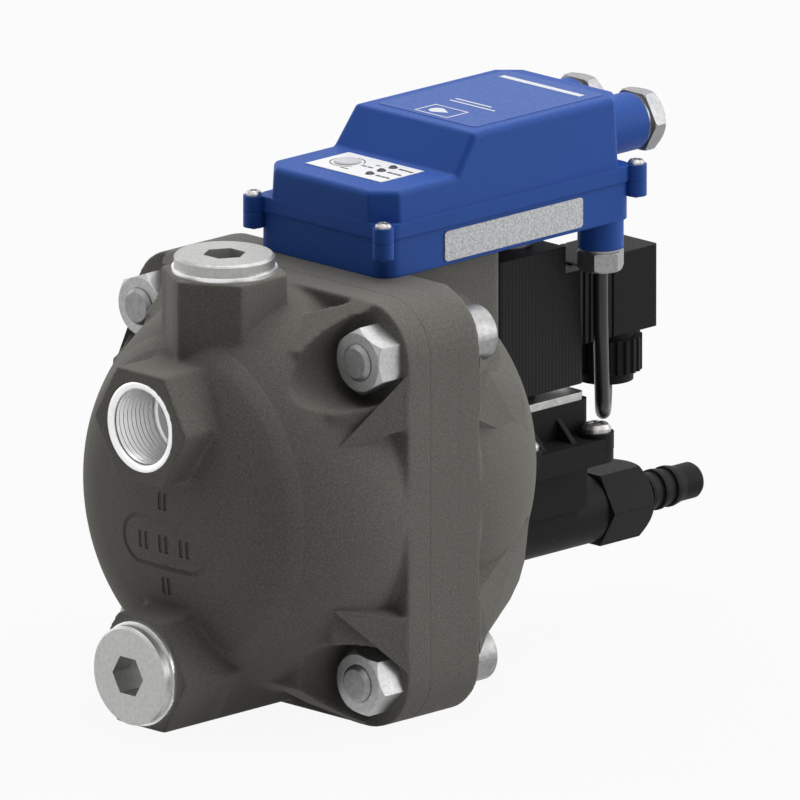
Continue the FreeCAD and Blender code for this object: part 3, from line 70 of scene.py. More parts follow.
# Open port, in metres from its mouth: bore, machined ring, thread and the smooth way behind it
PORT_MOUTH = (0, 0, 0)
ALONG_Y = (0, 1, 0)
BORE_R = 12.06 * MM
RING_R = 14.6 * MM
BORE_DEPTH = 18.5 * MM
THREAD_PITCH = 1.8 * MM
THREAD_DEPTH = 0.9 * MM
THREAD_START = 1.0 * MM
THREAD_ROOT_R = BORE_R + THREAD_DEPTH
# Each turn of the thread as (share of a turn, share of the depth)
THREAD_PROFILE = ((0.0, 0.0), (0.15, 0.0), (0.5, 1.0), (0.65, 1.0))
PORT_CUT_START = 1.0 * MM
PORT_CUT_R = RING_R - 0.2 * MM
INNER_BORE_R = 11.0 * MM
INNER_BORE_END = 33.0 * MM
# Corners as (radius, depth)
RING_OUTLINE = ((THREAD_ROOT_R, BORE_DEPTH), (THREAD_ROOT_R, 1.5 * MM), (BORE_R, 1.5 * MM),
                (BORE_R + 0.2 * MM, 0.7 * MM), (THREAD_ROOT_R, 0.0), (RING_R - 0.3 * MM, -0.05 * MM),
                (RING_R, 0.1 * MM), (RING_R, BORE_DEPTH))
WAY_OUTLINE = ((INNER_BORE_R - 0.25 * MM, INNER_BORE_END),
               (INNER_BORE_R - 0.25 * MM, BORE_DEPTH + 0.6 * MM),
               (INNER_BORE_R + 0.3 * MM, BORE_DEPTH - 0.1 * MM), (THREAD_ROOT_R, BORE_DEPTH - 0.1 * MM))
RING_STEPS = 96
THREAD_STEPS = 72

# Vessel, in millimetres: where its parting plane and its middle lie, then sizes from these
PARTING_Y = 74.5
MIDDLE_Z = -31.1
FLANGE_HALF_W = 61.25
FLANGE_HALF_H = 69.4
FLANGE_CORNER_R = 18.0
FLANGE_T = 16.35
FRONT = -1
REAR = 1
BAND_T = 6.0
BAND_WALL = 4.0
BAND_REACH = 6.5
BAND_SHARE = 0.999
LUG_TOP_X = 45.8
LUG_SIDE_Z = 48.9
LUG_OUTSIDE_X = 75.0
LUG_OUTSIDE_Y = 60.0
OUTSIDE_Z = 85.0
ROOT_Y = FLANGE_T - 0.4
CORNER_STEPS = 12
FRONT_VOXEL = 0.8
REAR_VOXEL = 0.9
SMOOTH_FACTOR = 0.5
SMOOTH_ROUNDS = 2

# Corners (x, y, z) for the right upper lug, with y away from the parting plane
RECESS_CORNERS = ((21.0, FLANGE_T, 65.5), (21.0, FLANGE_T, OUTSIDE_Z), (33.0, FLANGE_T, 60.5),
                  (40.6, FLANGE_T, 70.6), (40.6, FLANGE_T, OUTSIDE_Z), (21.0, 27.2, 64.4),
                  (21.0, 27.2, OUTSIDE_Z))
WEB_CORNERS = ((61.22, ROOT_Y, LUG_SIDE_Z), (61.22, ROOT_Y, 31.5), (50.0, ROOT_Y, 26.0), (51.5, 39.5, 25.8))
SHOULDER_CORNERS = ((61.0, ROOT_Y, 28.0), (60.5, 20.0, 43.0), (61.0, ROOT_Y, 43.0), (51.0, 48.4, 12.0),
                    (50.5, 46.9, 25.9), (50.6, 44.3, 32.0), (52.0, 38.9, 36.9), (44.0, 44.0, 10.0),
                    (44.0, ROOT_Y, 10.0), (44.0, ROOT_Y, 37.0), (45.0, 38.0, 37.0))

# Points on the axes of the plugs, in metres
TOP_PORT = (0, 37.7 * MM, 0)
LOWER_PORT = (0, 0, -80.2 * MM)

# Marks on the front of the casting, in metres: a sunk oval and plain bars in it, above it and below it
PANEL_Z = -40.2 * MM
PANEL_HALF_W = 18.4 * MM
PANEL_HALF_H = 7.7 * MM
PANEL_EDGE = 0.8 * MM
MARK_HALF_W = 0.5 * MM
MARK_HALF_H = 2.6 * MM
MARK_EDGE = 0.3 * MM
MARK_DEPTH_SHARE = 0.9
PANEL_MARKS_X = (-10.5, -7.7, -1.4, 1.4, 7.7, 10.5)
OUTER_MARKS_X = (-1.2, 1.2)
UPPER_MARKS_Z = PANEL_Z + 14.2 * MM
LOWER_MARKS_Z = PANEL_Z - 13.9 * MM
FRONT_END_Y = (20 * MM, 24 * MM)

# The casting's colours, as 0-255 sRGB; the last is a painted shade for its sunk marks
COAT_DARK = (103, 101, 96)
COAT_LIGHT = (130, 128, 122)
COAT_CLOUD = (110, 107, 101)
COAT_SPECK = (168, 164, 157)
MARK_PAINTED_SHADE = (62, 60, 57)

# Marks on the label and the film, in millimetres: spans as (x0, x1, y0, y1)
INK = 0.06 * MM
TOP_REACH = 0.01 * MM
LAMP_PLACES_Y = (96.0, 101.2, 106.4)
LAMP_BARS_X = ((9.3, 11.4), (11.8, 13.2), (13.6, 15.2))
LAMP_BAR_HALF_H = 0.55
BUTTON_X = -8.9
BUTTON_Y = 101.4
BUTTON_RING_R = 5.6
BUTTON_RING_W = 0.35
BUTTON_RING_START = 20
BUTTON_RING_END = 330
BUTTON_RING_STEPS = 32
LABEL_BARS = ((-2.6, -0.6, 101.2, 102.0), (0.0, 2.2, 101.2, 102.0), (-6.0, -2.5, 95.0, 95.6),
              (0.4, 2.4, 104.6, 105.2))
DROP_X = -2.0
DROP_Y = 134.5
DROP_R = 2.6
DROP_TIP = 2.0 * DROP_R
DROP_START = 60
DROP_SWEEP = 240
DROP_STEPS = 24
FRAME_BARS = ((-7.5, -6.9, 130.0, 139.0), (6.9, 7.5, 130.0, 139.0), (-7.5, 7.5, 129.6, 130.2),
              (-7.5, 7.5, 139.0, 139.6))
FILM_LINES = ((-8.0, 12.0, 146.0, 146.9), (-8.0, 8.0, 148.6, 149.5))
FILM_RULE = (-18.0, 18.0, 178.5, 181.0)

# Camera and stage, in metres
IMAGE_PX = 800
PX_PER_M = 3150.0
LENS = 1500.0
SENSOR = 36.0
CLIP_START = 1.0
CLIP_END = 60.0
AIM = Vector((0.0, 0.116, -0.013))
AZIMUTH = math.radians(45.0)
ELEVATION = math.radians(15.0)
FLOOR_HALF = 6.0
FLOOR_GAP = 0.0002
FLOOR_TONE = 0.5
FLOOR_GLOW = 0.1
FLOOR_GLOW_SEEN = 0.93
AMBIENT = 0.07


# Node helpers
class Surface:
    """A principled material whose colour, roughness and bump come from nodes."""

    # Places of the mix node's colour sockets
    MIX_FACTOR = 0
    MIX_FIRST = 6
    MIX_SECOND = 7
    MIX_RESULT = 2

    def __init__(self, name, rough=0.5, metal=0.0, specular=0.5):
        self.material = bpy.data.materials.new(name)
        self.material.use_nodes = True
        self.tree = self.material.node_tree
        self.shader = self.tree.nodes["Principled BSDF"]
        self.shader.inputs["Roughness"].default_value = rough
        self.shader.inputs["Metallic"].default_value = metal
        self.shader.inputs["Specular IOR Level"].default_value = specular
        self.coord = self.node("ShaderNodeTexCoord").outputs["Object"]

    def node(self, kind, **settings):
        made = self.tree.nodes.new(kind)
        for key, value in settings.items():
            setattr(made, key, value)
        return made

    def put(self, source, socket):
        if isinstance(source, (int, float, tuple)):
            socket.default_value = source
        else:
            self.tree.links.new(source, socket)

    def noise(self, scale, detail=3.0, rough=0.6):
        made = self.node("ShaderNodeTexNoise")
        self.put(self.coord, made.inputs["Vector"])
        made.inputs["Scale"].default_value = scale
        made.inputs["Detail"].default_value = detail
        made.inputs["Roughness"].default_value = rough
        return made.outputs["Fac"]

    def cells(self, scale):
        made = self.node("ShaderNodeTexVoronoi")
        self.put(self.coord, made.inputs["Vector"])
        made.inputs["Scale"].default_value = scale
        return made.outputs["Distance"]

    def math(self, kind, first, second=0.0):
        made = self.node("ShaderNodeMath", operation=kind)
        self.put(first, made.inputs[0])
        self.put(second, made.inputs[1])
        return made.outputs[0]

    def spread(self, value, low, high, to_low=0.0, to_high=1.0):
        """The value with the range low to high laid over to_low to to_high, and held at these."""
        made = self.node("ShaderNodeMapRange", clamp=True)
        self.put(value, made.inputs["Value"])
        for key, number in (("From Min", low), ("From Max", high), ("To Min", to_low), ("To Max", to_high)):
            made.inputs[key].default_value = number
        return made.outputs["Result"]

    def blend(self, factor, first, second):
        made = self.node("ShaderNodeMix", data_type="RGBA")
        self.put(factor, made.inputs[self.MIX_FACTOR])
        self.put(first, made.inputs[self.MIX_FIRST])
        self.put(second, made.inputs[self.MIX_SECOND])
        return made.outputs[self.MIX_RESULT]

    def axes(self, coord=None):
        """The three coordinates, from the given vector or else the object's own."""
        made = self.node("ShaderNodeSeparateXYZ")
        self.put(coord or self.coord, made.inputs[0])
        return made.outputs

    def shifted(self, x, y, z):
        """The object's coordinates counted from a point."""
        made = self.node("ShaderNodeMapping")
        self.put(self.coord, made.inputs["Vector"])
        made.inputs["Location"].default_value = (-x, -y, -z)
        return made.outputs["Vector"]

    def bump(self, height, distance, strength=1.0, normal=None):
        made = self.node("ShaderNodeBump")
        made.inputs["Strength"].default_value = strength
        made.inputs["Distance"].default_value = distance
        self.put(height, made.inputs["Height"])
        if normal is not None:
            self.put(normal, made.inputs["Normal"])
        return made.outputs["Normal"]

    def soft_edges(self, radius):
        """Normals that round the mesh's edges by a radius."""
        made = self.node("ShaderNodeBevel", samples=4)
        made.inputs["Radius"].default_value = radius
        return made.outputs["Normal"]

    def finish(self, colour=None, rough=None, normal=None):
        for source, key in ((colour, "Base Color"), (rough, "Roughness"), (normal, "Normal")):
            if source is not None:
                self.put(source, self.shader.inputs[key])
        return self.material


def tone(red, green, blue):
    """Colour given as 0-255 sRGB."""
    linear = []
    for part in (red, green, blue):
        share = part / 255
        linear.append(share / 12.92 if share <= 0.04045 else ((share + 0.055) / 1.055) ** 2.4)
    return (linear[0], linear[1], linear[2], 1.0)


def polar(surface, coord, axis):
    """Distance from the axis through the coordinate's origin."""
    made = surface.axes(coord)
    first, second = {"X": ("Y", "Z"), "Y": ("X", "Z"), "Z": ("X", "Y")}[axis]
    squares = surface.math("ADD", surface.math("MULTIPLY", made[first], made[first]),
                           surface.math("MULTIPLY", made[second], made[second]))
    return surface.math("SQRT", squares)


def dressed_casting(name, marked=False):
    """Hard-coated casting: warm dark grey with a fine speckle, and the front's plain marks if marked, sunk
    and darkened with a painted shade.
    """
    made = Surface(name, rough=0.7, specular=0.12)
    grain = made.spread(made.noise(1500, 4, 0.7), 0.36, 0.64)
    drift = made.spread(made.noise(22, 2, 0.5), 0.3, 0.7)
    colour = made.blend(grain, tone(*COAT_DARK), tone(*COAT_LIGHT))
    colour = made.blend(made.math("MULTIPLY", drift, 0.35), colour, tone(*COAT_CLOUD))
    dots = made.spread(made.cells(780), 0.10, 0.22, 0.30, 0.0)
    colour = made.blend(dots, colour, tone(*COAT_SPECK))
    height = made.noise(1250, 3, 0.65)
    normal = made.bump(height, 0.00009, 0.9)
    if marked:
        sunk, marks = front_marks(made)
        # The marks darkened: painted shade in the sunk bars
        colour = made.blend(made.math("MULTIPLY", marks, 0.55), colour, tone(*MARK_PAINTED_SHADE))
        normal = made.bump(sunk, 0.0016, 1.0, normal)
    return made.finish(colour, made.spread(grain, 0, 1, 0.62, 0.78), normal)


def mark_places():
    """Middles (x, z) of the plain bars on the casting's front."""
    places = []
    for x in PANEL_MARKS_X:
        places.append((x * MM, PANEL_Z))
    for x in OUTER_MARKS_X:
        places.append((x * MM, UPPER_MARKS_Z))
        places.append((x * MM, LOWER_MARKS_Z))
    return places


def front_marks(made):
    """Height of the sunk oval between the front ports with its plain marks, and where the marks are, which
    is where their painted shade goes.
    """
    axes = made.axes()
    across = axes["X"]
    up = made.math("SUBTRACT", axes["Z"], PANEL_Z)
    half = made.math("ABSOLUTE", across)
    beyond = made.math("MAXIMUM", made.math("SUBTRACT", half, PANEL_HALF_W - PANEL_HALF_H), 0.0)
    reach = made.math("SQRT", made.math("ADD", made.math("MULTIPLY", beyond, beyond),
                                        made.math("MULTIPLY", up, up)))
    sunk = made.spread(reach, PANEL_HALF_H - PANEL_EDGE, PANEL_HALF_H + PANEL_EDGE)
    marks = 0.0
    for x, z in mark_places():
        bar_x = made.math("ABSOLUTE", made.math("SUBTRACT", across, x))
        bar_z = made.math("ABSOLUTE", made.math("SUBTRACT", axes["Z"], z))
        far = made.math("MAXIMUM", made.math("SUBTRACT", bar_x, MARK_HALF_W),
                        made.math("SUBTRACT", bar_z, MARK_HALF_H))
        bar = made.spread(far, -MARK_EDGE, MARK_EDGE, 1.0, 0.0)
        marks = made.math("MAXIMUM", bar, marks)
    height = made.math("SUBTRACT", sunk, made.math("MULTIPLY", marks, MARK_DEPTH_SHARE))
    on_front = made.spread(axes["Y"], *FRONT_END_Y, 1.0, 0.0)
    return made.math("MULTIPLY", height, on_front), made.math("MULTIPLY", marks, on_front)


def metal(name, light, dark, rough, speckle=900.0):
    """Plated or turned metal with a slight grain."""
    made = Surface(name, rough=rough, metal=0.85)
    grain = made.spread(made.noise(speckle, 4, 0.7), 0.35, 0.65)
    cloud = made.spread(made.noise(70, 2, 0.5), 0.3, 0.7)
    colour = made.blend(made.math("MULTIPLY", grain, 0.6), tone(*light), tone(*dark))
    colour = made.blend(made.math("MULTIPLY", cloud, 0.25), colour, tone(*dark))
    normal = made.bump(grain, 0.00002, 0.6, made.soft_edges(0.0003))
    return made.finish(colour, made.spread(cloud, 0, 1, rough * 0.85, rough * 1.2), normal)


def turned_metal(name, light, dark, rough, centre, axis, pitch):
    """Metal with fine rings from turning around an axis."""
    made = Surface(name, rough=rough, metal=0.9)
    coord = made.shifted(*centre)
    radius = polar(made, coord, axis)
    rings = made.math("SINE", made.math("MULTIPLY", radius, 2 * math.pi / pitch))
    grain = made.spread(made.noise(700, 3, 0.6), 0.3, 0.7)
    colour = made.blend(made.math("MULTIPLY", grain, 0.5), tone(*light), tone(*dark))
    normal = made.bump(rings, 0.00002, 0.5, made.soft_edges(0.0002))
    return made.finish(colour, made.spread(grain, 0, 1, rough * 0.9, rough * 1.15), normal)


def plastic(name, light, dark, rough, scale=900.0, height=0.00004, edge=0.0004, specular=0.4, ribs=0.0):
    """Moulded plastic with a fine spark-eroded texture, and upright ribs where a pitch is given."""
    made = Surface(name, rough=rough, specular=specular)
    grain = made.spread(made.noise(scale, 3, 0.6), 0.35, 0.65)
    cloud = made.spread(made.noise(30, 2, 0.5), 0.3, 0.7)
    colour = made.blend(made.math("MULTIPLY", grain, 0.45), tone(*light), tone(*dark))
    colour = made.blend(made.math("MULTIPLY", cloud, 0.2), colour, tone(*dark))
    normal = made.bump(made.noise(scale * 0.8, 3, 0.6), height, 0.8, made.soft_edges(edge))
    if ribs > 0.0:
        axes = made.axes()
        along = made.math("ADD", axes["X"], axes["Y"])
        wave = made.math("SINE", made.math("MULTIPLY", along, 2 * math.pi / ribs))
        normal = made.bump(wave, 0.00005, 0.5, normal)
    return made.finish(colour, made.spread(grain, 0, 1, rough * 0.9, rough * 1.1), normal)


def printed_plastic(name, light, dark):
    """Smooth sheet or ink."""
    return plastic(name, light, dark, rough=0.5, height=0.00001, edge=0.0001, specular=0.3)


def foil(name):
    """Silver plate printed with a fine light and dark speckle."""
    made = Surface(name, rough=0.45, metal=0.25, specular=0.4)
    speck = made.spread(made.noise(1150, 5, 0.85), 0.38, 0.62)
    colour = made.blend(speck, tone(160, 161, 163), tone(222, 223, 225))
    normal = made.bump(speck, 0.00003, 0.5)
    return made.finish(colour, made.spread(speck, 0, 1, 0.5, 0.4), normal)


def laminate(name):
    """Green circuit board with faint tracks."""
    made = Surface(name, rough=0.4)
    weave = made.node("ShaderNodeTexChecker")
    made.put(made.coord, weave.inputs["Vector"])
    weave.inputs["Scale"].default_value = 240.0
    lines = made.spread(made.noise(160, 1, 0.3), 0.49, 0.51)
    squares = made.math("MULTIPLY", weave.outputs["Fac"], 0.15)
    colour = made.blend(squares, tone(22, 92, 52), tone(30, 110, 60))
    colour = made.blend(made.math("MULTIPLY", lines, 0.5), colour, tone(52, 130, 74))
    return made.finish(colour, made.spread(lines, 0, 1, 0.45, 0.35), made.bump(lines, 0.00003, 0.6))


# Mesh helpers
def add_object(name, mesh):
    made = bpy.data.objects.new(name, mesh)
    bpy.context.scene.collection.objects.link(made)
    return made


def mesh_from(name, points, faces, smooth=False):
    mesh = bpy.data.meshes.new(name)
    mesh.from_pydata([tuple(point) for point in points], [], faces)
    mesh.validate()
    for face in mesh.polygons:
        face.use_smooth = smooth
    return add_object(name, mesh)


def dress(piece, material, body="vessel"):
    """Give a piece its material and let it ride on a body."""
    piece.data.materials.clear()
    piece.data.materials.append(material)
    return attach(piece, body)


def baked(piece):
    """The piece's mesh with its modifiers applied."""
    depsgraph = bpy.context.evaluated_depsgraph_get()
    mesh = bpy.data.meshes.new_from_object(piece.evaluated_get(depsgraph))
    piece.modifiers.clear()
    old = piece.data
    piece.data = mesh
    bpy.data.meshes.remove(old)
    return piece


def lathe(name, outline, centre, axis, steps):
    """Surface turned about an axis from (radius, distance along the axis) corners."""
    turn = Vector((0, 0, 1)).rotation_difference(Vector(axis)).to_matrix()
    points = []
    for step in range(steps):
        angle = 2 * math.pi * step / steps
        for radius, along in outline:
            spot = Vector((radius * math.cos(angle), radius * math.sin(angle), along))
            points.append(turn @ spot + Vector(centre))
    count = len(outline)
    faces = []
    for step in range(steps):
        ahead = (step + 1) % steps
        for place in range(count - 1):
            faces.append((step * count + place, ahead * count + place, ahead * count + place + 1,
                          step * count + place + 1))
    piece = mesh_from(name, points, faces, True)
    tidy = bmesh.new()
    tidy.from_mesh(piece.data)
    bmesh.ops.remove_doubles(tidy, verts=tidy.verts, dist=1e-6)
    bmesh.ops.recalc_face_normals(tidy, faces=tidy.faces)
    tidy.to_mesh(piece.data)
    tidy.free()
    return piece


def cylinder_mesh(name, radius, start, axis, length):
    outline = [(0.0, 0.0), (radius, 0.0), (radius, length), (0.0, length)]
    return lathe(name, outline, start, axis, RING_STEPS)


def hulls(name, groups):
    """One mesh of several convex solids, each from a list of its corners."""
    made = bmesh.new()
    for corners in groups:
        verts = [made.verts.new(corner) for corner in corners]
        bmesh.ops.convex_hull(made, input=verts)
    bmesh.ops.recalc_face_normals(made, faces=made.faces)
    mesh = bpy.data.meshes.new(name)
    made.to_mesh(mesh)
    made.free()
    return add_object(name, mesh)


def vessel_point(x, y, z):
    """Point given from the vessel's middle and parting plane, in mm."""
    return Vector((x, y + PARTING_Y, z + MIDDLE_Z)) * MM


def mirrored_corners(side, corners):
    """The corners, given for the right upper lug, at each of the vessel's four lugs."""
    groups = []
    for turn_x in (-1, 1):
        for turn_z in (-1, 1):
            groups.append([vessel_point(turn_x * x, side * y, turn_z * z) for x, y, z in corners])
    return groups


def corner_clearance(side):
    """Room around each bolt's outer side, so that no thin edge is left there."""
    corners = []
    for x in (LUG_TOP_X, LUG_OUTSIDE_X):
        for y in (FLANGE_T, LUG_OUTSIDE_Y):
            for z in (LUG_SIDE_Z, OUTSIDE_Z):
                corners.append((x, y, z))
    return hulls("clearance", mirrored_corners(side, corners))


def top_recesses(side):
    """Hollows between each lug and the port boss beside it."""
    return hulls("recesses", mirrored_corners(side, RECESS_CORNERS))


def lug_webs(side):
    """Sharp web beside each bolt, from the flange's edge to the dome."""
    return hulls("webs", mirrored_corners(side, WEB_CORNERS))


def lug_shoulders(side):
    """Fuller shoulder between the dome and each lug."""
    return hulls("shoulders", mirrored_corners(side, SHOULDER_CORNERS))


def rounded_rectangle(half_w, half_h, radius):
    """Closed outline (x, z) with round corners."""
    corners = []
    for turn, (x, z) in enumerate(((1, 1), (-1, 1), (-1, -1), (1, -1))):
        for step in range(CORNER_STEPS + 1):
            angle = math.radians(90 * turn + 90 * step / CORNER_STEPS)
            corners.append((x * (half_w - radius) + radius * math.cos(angle),
                            z * (half_h - radius) + radius * math.sin(angle)))
    return corners


def flange_band(name, y0, y1):
    """Crisp machined edge of a flange at the parting plane."""
    outer = rounded_rectangle(FLANGE_HALF_W, FLANGE_HALF_H, FLANGE_CORNER_R)
    inner = rounded_rectangle(FLANGE_HALF_W - BAND_WALL, FLANGE_HALF_H - BAND_WALL,
                              FLANGE_CORNER_R - BAND_WALL)
    rings = [(outer, y0), (outer, y1), (inner, y1), (inner, y0)]
    count = len(outer)
    points = []
    for ring_corners, y in rings:
        for x, z in ring_corners:
            points.append(vessel_point(x, y, z))
    faces = []
    for row in range(len(rings)):
        below = (row + 1) % len(rings)
        for place in range(count):
            after = (place + 1) % count
            faces.append((row * count + place, row * count + after,
                          below * count + after, below * count + place))
    return mesh_from(name, points, faces)


def joined(pieces):
    """One mesh object from several."""
    whole = bmesh.new()
    for piece in pieces:
        whole.from_mesh(piece.data)
    bmesh.ops.recalc_face_normals(whole, faces=whole.faces)
    whole.to_mesh(pieces[0].data)
    whole.free()
    for piece in pieces[1:]:
        bpy.data.objects.remove(piece)
    return pieces[0]


def drawn_in(piece):
    """The flange's sides a hair inside the machined band that is laid over them."""
    for vert in piece.data.vertices:
        if abs(vert.co.y - PARTING_Y * MM) < BAND_REACH * MM:
            vert.co.x *= BAND_SHARE
            vert.co.z = (vert.co.z - MIDDLE_Z * MM) * BAND_SHARE + MIDDLE_Z * MM
    return piece


def softened(node, name, voxel, cutters, crisp):
    """Copy of a casting, cut, with its edges rounded as a mould leaves them, and joined with crisp pieces.

    It stands for the CAD node.
    """
    piece = add_object(name, NODES[node].data.copy())
    for cutter in cutters:
        cut = piece.modifiers.new("cut", "BOOLEAN")
        cut.operation = "DIFFERENCE"
        cut.solver = "EXACT"
        cut.object = cutter
        baked(piece)
        bpy.data.objects.remove(cutter)
    remesh = piece.modifiers.new("remesh", "REMESH")
    remesh.mode = "VOXEL"
    remesh.voxel_size = voxel
    remesh.use_smooth_shade = True
    smooth = piece.modifiers.new("smooth", "SMOOTH")
    smooth.factor = SMOOTH_FACTOR
    smooth.iterations = SMOOTH_ROUNDS
    baked(piece)
    joined([drawn_in(piece)] + crisp)
    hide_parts(node)
    return piece


def inlet_thread():
    """Thread surface in the open port: one helical strip, ended flat at both ends."""
    rows = []
    for turn in range(int(BORE_DEPTH / THREAD_PITCH) + 1):
        for share, depth in THREAD_PROFILE:
            rows.append((turn + share, depth))
    points = []
    for turns, depth in rows:
        radius = BORE_R + depth * THREAD_DEPTH
        for step in range(THREAD_STEPS):
            angle = 2 * math.pi * step / THREAD_STEPS
            along = (turns + step / THREAD_STEPS) * THREAD_PITCH
            along = min(max(along, THREAD_START), BORE_DEPTH)
            points.append((radius * math.cos(angle), along, radius * math.sin(angle)))
    faces = []
    for row in range(len(rows) - 1):
        for step in range(THREAD_STEPS):
            ahead = (step + 1) % THREAD_STEPS
            ahead_row = row + len(THREAD_PROFILE) if ahead == 0 else row
            if ahead_row + 1 < len(rows):
                faces.append((row * THREAD_STEPS + step, (row + 1) * THREAD_STEPS + step,
                              (ahead_row + 1) * THREAD_STEPS + ahead, ahead_row * THREAD_STEPS + ahead))
    return mesh_from("inlet_thread", points, faces, True)


def inlet_ring():
    """Machined ring at the open port's mouth, with the wall behind the thread."""
    return lathe("inlet_ring", RING_OUTLINE, PORT_MOUTH, ALONG_Y, RING_STEPS)


def inlet_way():
    """Smooth way behind the thread."""
    return lathe("inlet_way", WAY_OUTLINE, PORT_MOUTH, ALONG_Y, THREAD_STEPS)


# Label and film
def thinned(node, name, material):
    """Copy of a flat node with its top lowered by the ink's height; returns that top's level."""
    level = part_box(node)[1].z
    piece = add_object(name, NODES[node].data.copy())
    piece.matrix_world = NODES[node].matrix_world.copy()
    inward = piece.matrix_world.inverted()
    for corner in piece.data.vertices:
        spot = piece.matrix_world @ corner.co
        if spot.z > level - TOP_REACH:
            spot.z -= INK
            corner.co = inward @ spot
    dress(piece, material)
    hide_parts(node)
    return level - INK


def flat_patch(name, corners, level):
    """Mark of the ink's height on a level plane, from a closed list of (x, y) corners."""
    count = len(corners)
    points = [(x, y, level) for x, y in corners] + [(x, y, level + INK) for x, y in corners]
    faces = [tuple(range(count, 2 * count))]
    for place in range(count):
        after = (place + 1) % count
        faces.append((place, after, count + after, count + place))
    return mesh_from(name, points, faces)


def oblong(x0, x1, y0, y1):
    """Corners in metres of a rectangle given in millimetres."""
    return [(x0 * MM, y0 * MM), (x1 * MM, y0 * MM), (x1 * MM, y1 * MM), (x0 * MM, y1 * MM)]


def button_ring(name, level):
    """Open ring round the test button, level with the ink's top."""
    reaches = (BUTTON_RING_R + BUTTON_RING_W / 2, BUTTON_RING_R - BUTTON_RING_W / 2)
    points = []
    for reach in reaches:
        for step in range(BUTTON_RING_STEPS + 1):
            share = step / BUTTON_RING_STEPS
            angle = math.radians(BUTTON_RING_START + (BUTTON_RING_END - BUTTON_RING_START) * share)
            points.append(((BUTTON_X + reach * math.cos(angle)) * MM,
                           (BUTTON_Y + reach * math.sin(angle)) * MM, level + INK))
    count = BUTTON_RING_STEPS + 1
    faces = []
    for step in range(BUTTON_RING_STEPS):
        faces.append((step, step + 1, count + step + 1, count + step))
    return mesh_from(name, points, faces)


def drop_outline():
    """Plain water drop that points along +X."""
    corners = []
    for step in range(DROP_STEPS + 1):
        angle = math.radians(DROP_START + DROP_SWEEP * step / DROP_STEPS)
        corners.append(((DROP_X + DROP_R * math.cos(angle)) * MM, (DROP_Y + DROP_R * math.sin(angle)) * MM))
    corners.append(((DROP_X + DROP_TIP) * MM, DROP_Y * MM))
    return corners


# Stage
def seen_plainly(tree):
    """1 for rays that see the background: camera, mirror and glass rays."""
    path = tree.nodes.new("ShaderNodeLightPath")
    last = path.outputs["Is Camera Ray"]
    for key in ("Is Glossy Ray", "Is Transmission Ray"):
        both = tree.nodes.new("ShaderNodeMath")
        both.operation = "MAXIMUM"
        tree.links.new(last, both.inputs[0])
        tree.links.new(path.outputs[key], both.inputs[1])
        last = both.outputs[0]
    return last


def white_world():
    """World that is seen as white and gives only a little light."""
    world = bpy.data.worlds.new("studio")
    bpy.context.scene.world = world
    world.use_nodes = True
    tree = world.node_tree
    sky = tree.nodes["Background"]
    sky.inputs["Color"].default_value = (1.0, 1.0, 1.0, 1.0)
    scale = tree.nodes.new("ShaderNodeMapRange")
    tree.links.new(seen_plainly(tree), scale.inputs["Value"])
    scale.inputs["To Min"].default_value = AMBIENT
    scale.inputs["To Max"].default_value = 1.0
    tree.links.new(scale.outputs["Result"], sky.inputs["Strength"])


def pale_floor(level):
    """Pale floor that keeps the object's shadow, looks nearly white and is clear from below."""
    corners = [(-FLOOR_HALF, -FLOOR_HALF, level), (FLOOR_HALF, -FLOOR_HALF, level),
               (FLOOR_HALF, FLOOR_HALF, level), (-FLOOR_HALF, FLOOR_HALF, level)]
    floor = mesh_from("floor", corners, [(0, 1, 2, 3)])
    material = bpy.data.materials.new("floor_white")
    material.use_nodes = True
    tree = material.node_tree
    tree.nodes.clear()
    output = tree.nodes.new("ShaderNodeOutputMaterial")
    paper = tree.nodes.new("ShaderNodeBsdfDiffuse")
    paper.inputs["Color"].default_value = (FLOOR_TONE, FLOOR_TONE, FLOOR_TONE, 1.0)
    bright = tree.nodes.new("ShaderNodeEmission")
    bright.inputs["Color"].default_value = (1.0, 1.0, 1.0, 1.0)
    lit = tree.nodes.new("ShaderNodeMixShader")
    share = tree.nodes.new("ShaderNodeMapRange")
    tree.links.new(seen_plainly(tree), share.inputs["Value"])
    share.inputs["To Min"].default_value = FLOOR_GLOW
    share.inputs["To Max"].default_value = FLOOR_GLOW_SEEN
    tree.links.new(share.outputs["Result"], lit.inputs[0])
    tree.links.new(paper.outputs[0], lit.inputs[1])
    tree.links.new(bright.outputs[0], lit.inputs[2])
    below = tree.nodes.new("ShaderNodeNewGeometry")
    clear = tree.nodes.new("ShaderNodeBsdfTransparent")
    either = tree.nodes.new("ShaderNodeMixShader")
    tree.links.new(below.outputs["Backfacing"], either.inputs[0])
    tree.links.new(lit.outputs[0], either.inputs[1])
    tree.links.new(clear.outputs[0], either.inputs[2])
    tree.links.new(either.outputs[0], output.inputs["Surface"])
    floor.data.materials.append(material)


def direction(azimuth, elevation):
    """Unit vector away from the object; the azimuth is from -Y towards +X."""
    return Vector((math.sin(azimuth) * math.cos(elevation), -math.cos(azimuth) * math.cos(elevation),
                   math.sin(elevation)))


def soft_lamp(name, azimuth, elevation, distance, size, power):
    """Square soft lamp that looks at the object from a direction in degrees."""
    data = bpy.data.lights.new(name, "AREA")
    data.shape = "SQUARE"
    data.size = size
    data.energy = power
    lamp = bpy.data.objects.new(name, data)
    bpy.context.scene.collection.objects.link(lamp)
    away = direction(math.radians(azimuth), math.radians(elevation))
    lamp.location = AIM + away * distance
    lamp.rotation_euler = away.to_track_quat("Z", "Y").to_euler()


